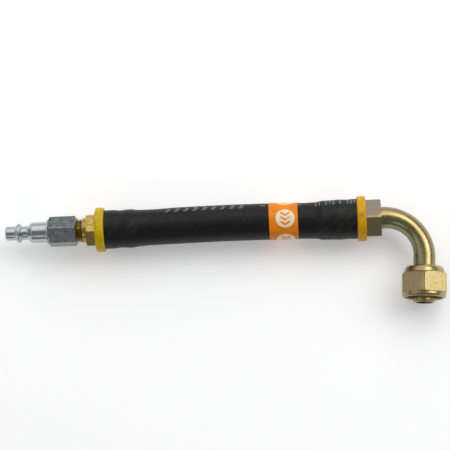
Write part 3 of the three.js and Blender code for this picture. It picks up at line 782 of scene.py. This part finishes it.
def gold_zinc(name, colour, tints_and_painted_light, blotch):
    """Yellow chromate over zinc: bands of tint round the piece that wander, with a fine bloom. The bands also
    carry painted highlight and shade by side.
    """
    finish = Finish(name, colour, Metallic=1.0, Roughness=0.28)
    drift = finish.noise((70, 70, 70), distortion=1.0)
    where = finish.math("ADD", finish.around(), finish.between(drift, 0.3, 0.7, -0.035, 0.035))
    # The ramp is partly plating tint and partly painted highlight and shade, lighter or darker by side as set
    # out at each table.
    tint_and_painted_light = finish.ramp(where, stops(tints_and_painted_light))
    patches = finish.noise(620, detail=2, distortion=0.8)
    flecks = finish.ramp(patches, stops(FLECK_TINTS))
    tone = finish.mix(blotch, tint_and_painted_light, flecks)
    grain = finish.noise(2100, detail=2)
    finish.colour(finish.mix(
        finish.times(finish.between(grain, 0.5, 0.7), 0.1), tone, scaled(colour, 0.5)))
    finish.roughness(finish.between(patches, 0.3, 0.7, 0.22, 0.32))
    finish.bump(grain, 0.000004, 0.3)
    finish.bump(finish.noise(300, detail=2), 0.00003, 0.25)
    return finish.material


def moulded_plastic(name, colour, smudge):
    """Moulded ring plastic: flow streaks, a few scuffs, a grey smudge from a thumb and a satin skin."""
    finish = Finish(name, colour, Roughness=0.42, IOR=1.33, Subsurface_Weight=0.05, Subsurface_Scale=0.002)
    streaks = finish.noise((260, 700, 700))
    scuffs = finish.between(finish.noise(800, detail=4, distortion=1.0), 0.66, 0.8)
    tone = finish.mix(finish.between(streaks, 0.3, 0.7), scaled(colour, 0.82), scaled(colour, 1.1))
    worn = finish.mix(finish.times(scuffs, 0.5), tone, scaled(colour, 0.35))
    from_smudge = finish.distance(finish.object_place, smudge)
    close = finish.between(from_smudge, 2.1 * MM, 0.4 * MM, 0.0, 0.75)
    patch = finish.times(close, finish.between(streaks, 0.35, 0.6))
    finish.colour(finish.mix(patch, worn, linear(96, 84, 52)))
    finish.roughness(finish.between(streaks, 0.3, 0.7, 0.36, 0.52))
    finish.bump(streaks, 0.00004, 0.3)
    return finish.material


def hose_rubber(name, colour):
    """Cured hose cover: the slanted print of the curing cloth, chalky where it is stretched."""
    finish = Finish(name, colour, Roughness=0.46, IOR=1.33)
    place = finish.stretched(finish.uv_place, (1, ROUND_THE_HOSE, 1))
    cloth = finish.noise((110, 620, 1), place=finish.turned(place, 0.85))
    cross = finish.noise((160, 1000, 1), detail=2, place=finish.turned(place, -0.7))
    grain = finish.noise(1500)
    wear = finish.noise((60, 200, 200), detail=4)
    reach = finish.distance(finish.stretched(finish.object_place, (0, 1, 1)), (0, AXIS_Y, AXIS_Z))
    swell = finish.between(reach, (HOSE_OUTER / 2 + 0.2) * MM, (HOSE_OUTER / 2 + 0.8) * MM)
    threads = finish.math(
        "ADD", finish.between(cloth, 0.48, 0.72, 0, 0.7), finish.between(cross, 0.5, 0.75, 0, 0.5))
    worn = finish.math("MAXIMUM", finish.between(wear, 0.42, 0.62, 0.15, 0.6), swell)
    chalk = finish.times(finish.times(threads, worn), finish.between(grain, 0.35, 0.6, 0.3, 1.2))
    finish.colour(finish.mix(chalk, colour, scaled(colour, 9.0)))
    finish.roughness(finish.between(grain, 0.3, 0.7, 0.38, 0.56))
    finish.bump(cloth, 0.0002, 0.9)
    finish.bump(grain, 0.00004, 0.6)
    return finish.material


def label_film(name, colour):
    """Printed paper film, faded in places and rubbed along the rubber's grain."""
    finish = Finish(name, colour, Roughness=0.45, IOR=1.33)
    fade = finish.noise(240)
    rub = finish.between(finish.noise((500, 1600, 1600)), 0.62, 0.8)
    tone = finish.mix(finish.between(fade, 0.3, 0.7), scaled(colour, 0.86), scaled(colour, 1.1))
    finish.colour(finish.mix(finish.times(rub, 0.35), tone, scaled(colour, 0.45)))
    finish.bump(fade, 0.00004, 0.3)
    return finish.material


def plain_print(name, colour, worn=0.5):
    """Ink, worn through in small flecks."""
    finish = Finish(name, colour, Roughness=0.55)
    flecks = finish.between(finish.noise(2200), 0.5, 0.68)
    finish.colour(finish.mix(finish.times(flecks, worn), colour, scaled(colour, 0.35)))
    return finish.material


def soft_rubber(name, colour):
    finish = Finish(name, colour, Roughness=0.5)
    grain = finish.noise(2200, detail=2)
    finish.colour(finish.mix(finish.between(grain, 0.3, 0.7), scaled(colour, 0.8), scaled(colour, 1.3)))
    finish.bump(grain, 0.00002, 0.4)
    return finish.material


def braid_yarn(name, colour):
    """Polyester yarn: pale strands with fine fibres across."""
    finish = Finish(name, colour, Roughness=0.85, Sheen_Weight=0.2)
    fibres = finish.noise((3000, 900, 900), detail=2)
    finish.colour(finish.mix(finish.between(fibres, 0.3, 0.7), scaled(colour, 0.7), scaled(colour, 1.1)))
    finish.bump(fibres, 0.00005, 0.5)
    return finish.material


# Pieces


def sizes():
    return bpy.context.scene.hose_assembly_sizes


def finishes():
    return bpy.context.scene.hose_assembly_finishes


def make_plug():
    """The quick-connect plug: nose, latching ridge, groove, shank and hexagon."""
    hex_start, hex_end = 25.0, (PLUG_END - PLUG_START) / MM
    corner = past_corner(PLUG_FLATS)
    outside = [
        (0, 3.5), (0.6, 4.1), (5.75, 4.1), (7.35, 5.7), (8.25, 5.7), (9.85, 3.95), (12.95, 3.95),
        (15.55, 5.95), (24.1, 5.95), (24.3, 7.1), (25.05, 7.15), (hex_start + 1.25, corner),
        (hex_end - 1.2, corner), (hex_end, 7.1),
    ]
    bore = [(0, 2.7), (hex_end - 13.0, 2.7), (hex_end - 12.4, 5.7), (hex_end - 0.9, 6.45), (hex_end, 7.0)]
    outline = softened(in_metres(walled(outside, bore), PLUG_START), sizes().edge_softness)
    mesh = turned_from_hex("plug", refined(outline, 0.45 * MM), PLUG_FLATS, PLUG_TURN)
    steel = plated_steel("Clear zinc steel", finishes().steel, PLUG_START + hex_start * MM)
    made = piece("plug", mesh, steel, "plug_steel")
    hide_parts("quick_connect_plug")
    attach(made, "plug_end")


def make_brass_fitting():
    """The brass fitting: pipe thread, hexagon and barbed stem."""
    brass = machined_brass("Machined brass", finishes().brass)
    root = PIPE_PITCH_RADIUS - PIPE_DEPTH / 2
    hex_end = HEX_AT_PLUG_END / MM
    hex_start = hex_end - BRASS_HEX_LENGTH
    small_end, thread_end = BRASS_START / MM, hex_start - PIPE_SHOULDER
    thread_length = thread_end - small_end
    corner = past_corner(BRASS_FLATS)
    core = root + thread_length * PIPE_TAPER / 2 - 0.1
    outside = [(small_end, root - 0.15), (thread_end - 0.3, core), (thread_end, PIPE_SHOULDER_RADIUS),
               (hex_start, PIPE_SHOULDER_RADIUS), (hex_start, 8.5), (hex_start + 0.6, corner),
               (hex_end, corner)]
    outside += [(hex_end + distance, radius) for distance, radius in stem_outside(BRASS_STEM)]
    bore = [(small_end, 3.7), (BRASS_TIP / MM, 3.7)]
    outline = softened(in_metres(walled(outside, bore)), sizes().edge_softness)
    body = turned_from_hex("brass body", refined(outline, 0.6 * MM), BRASS_FLATS, BRASS_TURN)
    thread = backed_thread(thread_tree(), "brass thread", (root - 0.6) * MM, along_hose, BRASS_START, {
        "Length": thread_length * MM, "Pitch": PIPE_PITCH * MM, "Root Radius": root * MM,
        "Crest Radius": (root + PIPE_DEPTH) * MM, "Taper": PIPE_TAPER,
        "Start Fade": 0.8 * MM, "End Fade": 0.6 * MM, "Material": brass})
    made = piece("brass_fitting", [body, thread], brass, "brass")
    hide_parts("brass_barb_fitting")
    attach(made, "plug_end")


def make_ring(name, node, outer_diameter, cup_at, start, sign, material, slot, body):
    """A moulded cup ring: a floor against the hexagon and a wall over the hose end."""
    outer = outer_diameter / 2
    cup = float(layer_radius([cup_at], HOSE_OUTER)[0]) / MM + CUP_CLEARANCE
    outside = [(0, outer - 1.2), (0.35, outer - 0.35), (1.1, outer), (4.5, outer), (5.1, outer - 0.4),
               (RING_LENGTH, outer - 1.2)]
    inside = [(0, RING_BORE_RADIUS), (1.0, RING_BORE_RADIUS), (1.0, cup), (RING_LENGTH, cup + 0.05)]
    outline = softened(in_metres(walled(outside, inside), start, sign), 0.45 * MM, steps=4)
    made = piece(name, turned_round(name, refined(outline, 0.5 * MM)), material, slot, sharp_degrees=50)
    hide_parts(node)
    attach(made, body)


def make_rings():
    lemon_smudge = (PLUG_RING_END, AXIS_Y + 10.5 * MM, AXIS_Z + 8.5 * MM)
    amber_smudge = (ELBOW_RING_START + 2.6 * MM, AXIS_Y, AXIS_Z + 13.1 * MM)
    make_ring("plug_ring", "plug_end_ring", PLUG_RING_OUTER, PLUG_RING_END, PLUG_RING_START, 1,
              moulded_plastic("Lemon plastic", finishes().lemon, lemon_smudge),
              "lemon_plastic", "plug_end")
    make_ring("elbow_ring", "elbow_end_ring", ELBOW_RING_OUTER, ELBOW_RING_START, ELBOW_RING_END, -1,
              moulded_plastic("Amber plastic", finishes().amber, amber_smudge),
              "amber_plastic", "elbow_end")


def bow_at(stations):
    """How far the hose bows sideways: nothing over the stems, most halfway."""
    t = np.clip((np.asarray(stations) - BRASS_TIP) / (NIPPLE_TIP - BRASS_TIP), 0, 1)
    return sizes().hose_bow * np.sin(math.pi * t)


def bowed(mesh):
    """The mesh moved sideways with the hose's bow."""
    points = mesh_points(mesh)
    points[:, 1] += bow_at(points[:, 0])
    mesh.vertices.foreach_set("co", points.ravel())
    return mesh


def flexes(made):
    """Bakes the object's placement into its mesh."""
    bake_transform(made)


def sleeve_outline(start, end, count, inner_step, inner, outer):
    """The outline of a sleeve between two radius rules, with fewer stations along its bore."""
    stations = np.linspace(start, end, count)
    few = stations[::inner_step].copy()
    inside = list(zip(few, inner(few)))
    inside[-1] = (end, inside[-1][1])
    return stations, walled(zip(stations, outer(stations)), inside)


def hose_layer(name, inner_diameter, outer_diameter, segments=ROUND_SEGMENTS, relief=None):
    stations, outline = sleeve_outline(
        HOSE_START, HOSE_END, 310, 6, lambda x: layer_radius(x, inner_diameter),
        lambda x: layer_radius(x, outer_diameter))
    angles = round_angles(segments)
    swell = None
    if relief:
        swell = np.zeros((len(outline), segments))
        swell[:len(stations)] = relief(stations[:, None], angles[None, :])
    return bowed(revolve(name, outline, angles, along_hose, swell=swell))


def cover_relief(stations, angles):
    """Slight unevenness of a hand-wrapped cover."""
    slow = np.sin(stations * 410 + 2.0 * np.sin(angles)) * np.cos(2 * angles + stations * 170)
    quick = np.sin(stations * 2300 + 3 * angles)
    return (0.035 * slow + 0.008 * quick) * MM


def braid_relief(stations, angles):
    """Two sets of strands that cross in diamonds."""
    lead, strands = 2 * math.pi / (38 * MM), 24
    one = np.abs(np.sin((angles + stations * lead) * strands / 2))
    other = np.abs(np.sin((angles - stations * lead) * strands / 2))
    return -0.12 * MM * (1 - np.maximum(one, other))


def make_hose():
    """The hose: lining, braid and cover, each bending with it."""
    braid_inner = HOSE_BORE + 2 * LINING_WALL
    braid_outer = braid_inner + 2 * BRAID_THICKNESS
    lining = piece("hose_lining", hose_layer("hose_lining", HOSE_BORE, braid_inner - 0.05),
                   soft_rubber("Lining rubber", linear(34, 33, 32)), "tube_rubber")
    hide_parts("hose_inner_tube")
    flexes(lining)
    braid = piece("hose_braid", hose_layer("hose_braid", braid_inner, braid_outer - 0.05, 144, braid_relief),
                  braid_yarn("Braid yarn", linear(205, 200, 188)), "braid_yarn", sharp_degrees=60)
    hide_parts("hose_textile_braid")
    flexes(braid)
    layer = hose_layer("hose_outer_cover", braid_outer, HOSE_OUTER, relief=cover_relief)
    cover = piece("hose_outer_cover", layer,
                  hose_rubber("Hose cover rubber", finishes().rubber), "cover_rubber", sharp_degrees=60)
    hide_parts("hose_cover")
    flexes(cover)
    return cover


def flat_block(width, height, thickness):
    """A thin block in the XY plane, cut up across Y so that it can roll round the hose."""
    block = bmesh.new()
    bmesh.ops.create_grid(block, x_segments=2, y_segments=10, size=0.5)
    for vertex in block.verts:
        vertex.co = Vector((vertex.co.x * width, vertex.co.y * height, thickness))
    for vertex in pushed_rims(block):
        vertex.co.z = -thickness
    bmesh.ops.holes_fill(block, edges=boundary(block))
    return as_mesh("block", block)


def settled(mesh):
    """Marks rolled round the rest radius, set onto the real surface of the hose at their station."""
    points = mesh_points(mesh)
    radius = np.hypot(points[:, 1], points[:, 2])
    swollen = layer_radius(points[:, 0], HOSE_OUTER) - HOSE_OUTER / 2 * MM
    factor = (radius + swollen) / radius
    points[:, 1] = points[:, 1] * factor + AXIS_Y
    points[:, 2] = points[:, 2] * factor + AXIS_Z
    mesh.vertices.foreach_set("co", points.ravel())
    return bowed(mesh)


def grown_marks(name, mark, material, station, radius, start_round, along=(1, 0.01), around=(1, 0.01),
                change=0.0, seed=1):
    """Marks set out from a station, by a (count, step) along the hose and another round it."""
    holder = linked_object(name, mark)
    result = grown(strip_tree(), name, {
        "Mark": holder, "Count Along": along[0], "Step Along": along[1],
        "Count Round": around[0], "Step Round": around[1], "Start Round": start_round, "Radius": radius,
        "Width Change": change, "Seed": seed, "Material": material})
    bpy.data.objects.remove(holder)
    for vertex in result.vertices:
        vertex.co.x += station
    return settled(result)


def make_lay_line():
    """The printed line along the hose: plain chevrons, bars and dashes, a little worn."""
    ink = plain_print("Hose ink", finishes().ink, worn=0.6)
    height, thickness = sizes().print_height, INK_THICKNESS * MM
    radius = HOSE_OUTER / 2 * MM
    start_round = math.radians(LAY_LINE_ANGLE) * radius
    arrow = chevron_mesh(height, 2.0 * MM, 2.1 * MM, thickness, along=True)
    bar = flat_block(1.1 * MM, height * 0.95, thickness)
    dash = flat_block(0.9 * MM, height * 0.45, thickness)
    # Each run: mark, first station, count, step, change of width and seed.
    runs = [(arrow, -31.9, 9, 5.3, 0.12, 3), (dash, 22.2, 2, 1.5, 0.3, 5), (dash, 43.4, 2, 1.5, 0.3, 7),
            (bar, 53.6, 2, 2.0, 0.4, 9), (bar, 59.6, 3, 2.1, 0.4, 11), (bar, 67.6, 1, 1.9, 0.2, 13),
            (bar, 72.0, 3, 1.9, 0.3, 15)]
    meshes = [grown_marks("ink run", mark, ink, start * MM, radius, start_round, (count, step * MM),
                          change=change, seed=seed)
              for mark, start, count, step, change, seed in runs]
    made = piece("lay_line_print", meshes, ink, "cover_rubber", sharp_degrees=60)
    flexes(made)


def make_label():
    """The orange wrap label with its pale discs, each with three plain chevrons."""
    thickness = LABEL_THICKNESS * MM
    stations, outline = sleeve_outline(
        LABEL_START, LABEL_END, 24, 4, lambda x: layer_radius(x, HOSE_OUTER) + 0.02 * MM,
        lambda x: layer_radius(x, HOSE_OUTER) + thickness)
    angles = round_angles(144)
    from_seam = (angles - math.radians(LABEL_SEAM_ANGLE)) % (2 * math.pi)
    swell = np.zeros((len(outline), len(angles)))
    swell[:len(stations)] = np.where(from_seam < math.radians(14), 0.1 * MM, 0.0)[None, :]
    film = bowed(revolve("label film", outline, angles, along_hose, swell=swell))
    orange = label_film("Label film", finishes().orange)
    made = piece("label_film", film, orange, "orange_label", sharp_degrees=50)
    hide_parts("wrap_label")
    flexes(made)
    radius = HOSE_OUTER / 2 * MM + thickness
    cream = plain_print("Disc print", linear(246, 226, 196), worn=0.15)
    around = (4, math.radians(DISC_PITCH_ANGLE) * radius)
    first = math.radians(DISC_FIRST_ANGLE) * radius
    middle = (LABEL_START + LABEL_END) / 2 + DISC_OFFSET * MM
    disc = disc_mesh(sizes().disc_diameter / 2)
    discs = grown_marks("disc", disc, cream, middle, radius, first, around=around)
    made = piece("label_discs", discs, cream, "orange_label", sharp_degrees=50)
    flexes(made)
    chevrons = [grown_marks("chevron", chevron_mesh(5.4 * MM, 1.7 * MM, 1.25 * MM, 0.05 * MM), orange,
                            middle, radius, first + offset * MM, around=around)
                for offset in (-2.6, 0.1, 2.8)]
    made = piece("label_chevrons", chevrons, orange, "orange_label", sharp_degrees=50)
    flexes(made)


def disc_mesh(radius):
    """A thin disc with enough rings to roll round the hose."""
    disc = bmesh.new()
    rings, segments = 6, 48
    for height in (INK_THICKNESS * MM, -INK_THICKNESS * MM):
        centre = disc.verts.new((0, 0, height))
        previous = None
        for ring in range(1, rings + 1):
            reach = radius * ring / rings
            verts = [disc.verts.new((reach * math.cos(a), reach * math.sin(a), height))
                     for a in round_angles(segments)]
            for k in range(segments):
                n = (k + 1) % segments
                disc.faces.new([centre, verts[k], verts[n]] if previous is None
                               else [previous[k], verts[k], verts[n], previous[n]])
            previous = verts
    bmesh.ops.bridge_loops(disc, edges=boundary(disc))
    return as_mesh("disc", disc)


def chevron_mesh(span, rise, stroke, thickness, along=False):
    """A thin chevron that points round the hose, or along it."""
    chevron = bmesh.new()
    half, steps = stroke / 2, 12
    columns = []
    for step in range(steps + 1):
        x = -span / 2 + span * step / steps
        y = rise * (1 - abs(2 * x / span)) - rise / 2
        places = [(x, y - half, -thickness), (x, y + half, -thickness), (x, y + half, thickness),
                  (x, y - half, thickness)]
        columns.append([chevron.verts.new((py, px, pz) if along else (px, py, pz)) for px, py, pz in places])
    for left, right in zip(columns, columns[1:]):
        for k in range(4):
            n = (k + 1) % 4
            chevron.faces.new([left[k], left[n], right[n], right[k]])
    chevron.faces.new(columns[0])
    chevron.faces.new(columns[-1])
    return as_mesh("chevron", chevron)


def make_nipple(material):
    """The elbow's steel nipple: hexagon and barbed stem."""
    corner = past_corner(NIPPLE_FLATS)
    hex_length = (NIPPLE_END - HEX_AT_ELBOW_END) / MM
    outside = [(-d, radius) for d, radius in stem_outside(NIPPLE_STEM)][::-1]
    outside += [(0.0, corner), (hex_length - 0.35, corner), (hex_length, corner - 0.5)]
    socket_start = hex_length - 6.0
    bore = [(-NIPPLE_STEM["length"], 4.7), (socket_start, 4.7), (socket_start, 6.42), (hex_length, 6.42)]
    outline = softened(in_metres(walled(outside, bore), HEX_AT_ELBOW_END), sizes().edge_softness)
    mesh = turned_from_hex("nipple", refined(outline, 0.6 * MM), NIPPLE_FLATS, NIPPLE_TURN)
    made = piece("nipple", mesh, material, "gold_zinc")
    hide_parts("elbow_barb_nipple")
    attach(made, "elbow_end")


def make_tube(material):
    """The bent tube, flattened in its bend, with the bead that keeps the nut and a chamfered pilot."""
    outer, bore = TUBE_OUTER / 2, TUBE_OUTER / 2 - TUBE_WALL
    bead_end = TUBE_LEG - PILOT_LENGTH
    bead_start = bead_end - BEAD_WIDTH
    before = -(BEND_RADIUS * BEND_ANGLE) / MM - TUBE_LEAD
    outside = [(before, outer), (bead_start, outer), (bead_start + 0.6, BEAD_RADIUS),
               (bead_end - 0.6, BEAD_RADIUS), (bead_end, outer), (TUBE_LEG - 0.75, outer),
               (TUBE_LEG, outer - 0.7)]
    inside = [(before, bore), (TUBE_LEG, bore)]
    outline = softened(in_metres(walled(outside, inside)), 0.2 * MM)
    mesh = revolve("tube", refined(outline, 0.5 * MM), round_angles(), along_elbow)
    made = piece("tube", mesh, material, "gold_zinc")
    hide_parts("elbow_tube")
    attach(made, "elbow_end")


def make_o_ring():
    """The seal on the pilot, against the bead."""
    centre, radius = TUBE_LEG - PILOT_LENGTH + 1.0, TUBE_OUTER / 2 + 1.0
    outline = [(centre - SEAL_SECTION * math.cos(a), radius + SEAL_SECTION * math.sin(a))
               for a in round_angles(20)]
    mesh = turned_round("o_ring", in_metres(outline), along_elbow)
    rubber = soft_rubber("Seal rubber", linear(26, 26, 26))
    made = piece("o_ring", mesh, rubber, "seal_rubber", sharp_degrees=60)
    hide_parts("pilot_o_ring")
    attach(made, "elbow_end")


def make_nut(material):
    """The swivel nut: rounded collar, hexagon, turned skirt and threaded mouth."""
    end = NUT_MOUTH
    start = end - NUT_LENGTH
    hex_start, hex_end = start + 4.0, end - 3.0
    thread_start = end - 12.7
    corner = past_corner(NUT_FLATS)
    outside = [(start, 8.6), (start + 0.15, 9.4), (start + 0.5, 10.2), (start + 1.1, 10.8),
               (start + 2.0, 11.25), (hex_start, 11.9), (hex_start + 0.35, 12.75),
               (hex_start + 1.1, corner), (hex_end, corner), (hex_end, 12.5), (end - 1.3, 12.5),
               (end - 0.5, 12.25), (end, 11.7)]
    inside = [(start, 6.6), (thread_start, 6.6), (thread_start, 11.3), (end - 1.0, 11.3),
              (end - 0.9, 10.3), (end, 11.15)]
    outline = softened(in_metres(walled(outside, inside)), sizes().edge_softness)
    body = turned_from_hex("nut body", refined(outline, 0.45 * MM), NUT_FLATS, NUT_TURN, along_elbow)
    thread = backed_thread(thread_tree(), "nut thread", 11.6 * MM, along_elbow, thread_start * MM, {
        "Length": 12.1 * MM, "Pitch": NUT_PITCH * MM, "Root Radius": 11.1 * MM, "Crest Radius": 10.15 * MM,
        "Taper": 0.0, "Start Fade": 0.5 * MM, "End Fade": 1.0 * MM, "Material": material})
    made = piece("nut", [body, thread], material, "gold_zinc")
    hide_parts("swivel_nut")
    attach(made, "nut")


# Stage


def make_camera():
    """Looks down from above, a little in front and to the elbow's side, with the hose rising to the right."""
    distance, width, rise = 1.2, 0.261, math.radians(2.45)
    target = Vector((0.0006, AXIS_Y - 0.0003, AXIS_Z))
    back = Vector((0.038, -0.165, 0.986)).normalized()
    facing = back.to_track_quat("Z", "Y")
    along = facing.inverted() @ Vector((1, 0, 0))
    roll = math.atan2(along.y, along.x) - rise
    data = bpy.data.cameras.new("Camera")
    data.sensor_width = 36.0
    data.lens = data.sensor_width * distance / width
    camera = linked_object("Camera", data)
    camera.matrix_world = (Matrix.Translation(target + back * distance) @ facing.to_matrix().to_4x4()
                           @ Matrix.Rotation(roll, 4, "Z"))
    bpy.context.scene.camera = camera


def soft_light(name, direction, size, power):
    """A panel of light that faces the assembly."""
    data = bpy.data.lights.new(name, "AREA")
    data.shape = "RECTANGLE"
    data.size, data.size_y = size
    data.energy = power
    away = Vector(direction).normalized()
    light = linked_object(name, data)
    light.location = away * LIGHT_DISTANCE
    light.rotation_euler = away.to_track_quat("Z", "Y").to_euler()


def make_floor():
    mesh = bpy.data.meshes.new("floor")
    half = 3.0
    corners = [(-half, -half, 0), (half, -half, 0), (half, half, 0), (-half, half, 0)]
    mesh.from_pydata(corners, [], [(0, 1, 2, 3)])
    finish = Finish("Floor", (0.92, 0.92, 0.92), Roughness=0.9, Emission_Color=(1, 1, 1, 1),
                    Emission_Strength=0.25)
    mesh.materials.append(finish.material)
    floor = linked_object("floor", mesh)
    floor.location.z = CAD_LOW[2]


def make_room():
    world = bpy.data.worlds.new("Room")
    world.use_nodes = True
    background = world.node_tree.nodes["Background"]
    background.inputs["Color"].default_value = (0.97, 0.985, 1.0, 1)
    background.inputs["Strength"].default_value = 0.22
    bpy.context.scene.world = world
    bpy.context.scene.view_settings.view_transform = "Standard"


# Operators


class HOSE_OT_plug(bpy.types.Operator):
    """Builds the quick-connect plug"""
    bl_idname = "hose_assembly.plug"
    bl_label = "Plug"

    def execute(self, context):
        make_plug()
        return {"FINISHED"}


class HOSE_OT_brass_fitting(bpy.types.Operator):
    """Builds the brass fitting with its pipe thread and barbed stem"""
    bl_idname = "hose_assembly.brass_fitting"
    bl_label = "Brass fitting"

    def execute(self, context):
        make_brass_fitting()
        return {"FINISHED"}


class HOSE_OT_rings(bpy.types.Operator):
    """Builds the two moulded cup rings"""
    bl_idname = "hose_assembly.rings"
    bl_label = "Cup rings"

    def execute(self, context):
        make_rings()
        return {"FINISHED"}


class HOSE_OT_hose(bpy.types.Operator):
    """Builds the hose's three layers and the print along it"""
    bl_idname = "hose_assembly.hose"
    bl_label = "Hose"

    def execute(self, context):
        cover = make_hose()
        make_lay_line()
        return {"FINISHED"}


class HOSE_OT_label(bpy.types.Operator):
    """Builds the wrap label and its printed discs"""
    bl_idname = "hose_assembly.label"
    bl_label = "Label"

    def execute(self, context):
        make_label()
        return {"FINISHED"}


class HOSE_OT_elbow(bpy.types.Operator):
    """Builds the elbow: nipple, bent tube, seal and swivel nut"""
    bl_idname = "hose_assembly.elbow"
    bl_label = "Elbow"

    def execute(self, context):
        colour = finishes().gold_zinc
        make_nipple(gold_zinc("Gold zinc nipple", colour, NIPPLE_TINTS_AND_PAINTED_LIGHT, blotch=0.06))
        make_tube(gold_zinc("Gold zinc tube", colour, TUBE_TINTS_AND_PAINTED_HIGHLIGHT, blotch=0.22))
        make_o_ring()
        make_nut(gold_zinc("Gold zinc nut", colour, NUT_TINTS_AND_PAINTED_HIGHLIGHT, blotch=0.3))
        return {"FINISHED"}


class HOSE_OT_stage(bpy.types.Operator):
    """Sets up the floor, the lights, the room and the camera"""
    bl_idname = "hose_assembly.stage"
    bl_label = "Stage"

    def execute(self, context):
        make_camera()
        make_floor()
        make_room()
        for light in LIGHTS:
            soft_light(*light)
        return {"FINISHED"}


STEPS = ("stage", "elbow", "hose", "plug", "brass_fitting", "rings", "label")


class HOSE_PT_panel(bpy.types.Panel):
    """Lists the sizes, the finishes and the pieces"""
    bl_idname = "HOSE_PT_panel"
    bl_label = "Hose assembly"
    bl_space_type = "VIEW_3D"
    bl_region_type = "UI"
    bl_category = "Hose"

    def draw(self, context):
        for group in (context.scene.hose_assembly_sizes, context.scene.hose_assembly_finishes):
            for key in group.__annotations__:
                self.layout.prop(group, key)
        for step in STEPS:
            self.layout.operator(f"hose_assembly.{step}")


CLASSES = (
    HoseAssemblySizes, HoseAssemblyFinishes, HOSE_OT_plug, HOSE_OT_brass_fitting, HOSE_OT_rings,
    HOSE_OT_hose, HOSE_OT_label, HOSE_OT_elbow, HOSE_OT_stage, HOSE_PT_panel,
)


def register():
    for cls in CLASSES:
        bpy.utils.register_class(cls)
    bpy.types.Scene.hose_assembly_sizes = bpy.props.PointerProperty(type=HoseAssemblySizes)
    bpy.types.Scene.hose_assembly_finishes = bpy.props.PointerProperty(type=HoseAssemblyFinishes)


def unregister():
    del bpy.types.Scene.hose_assembly_finishes
    del bpy.types.Scene.hose_assembly_sizes
    for cls in reversed(CLASSES):
        bpy.utils.unregister_class(cls)


def main():
    register()
    for step in STEPS:
        getattr(bpy.ops.hose_assembly, step)()


if __name__ == "__main__":
    main()
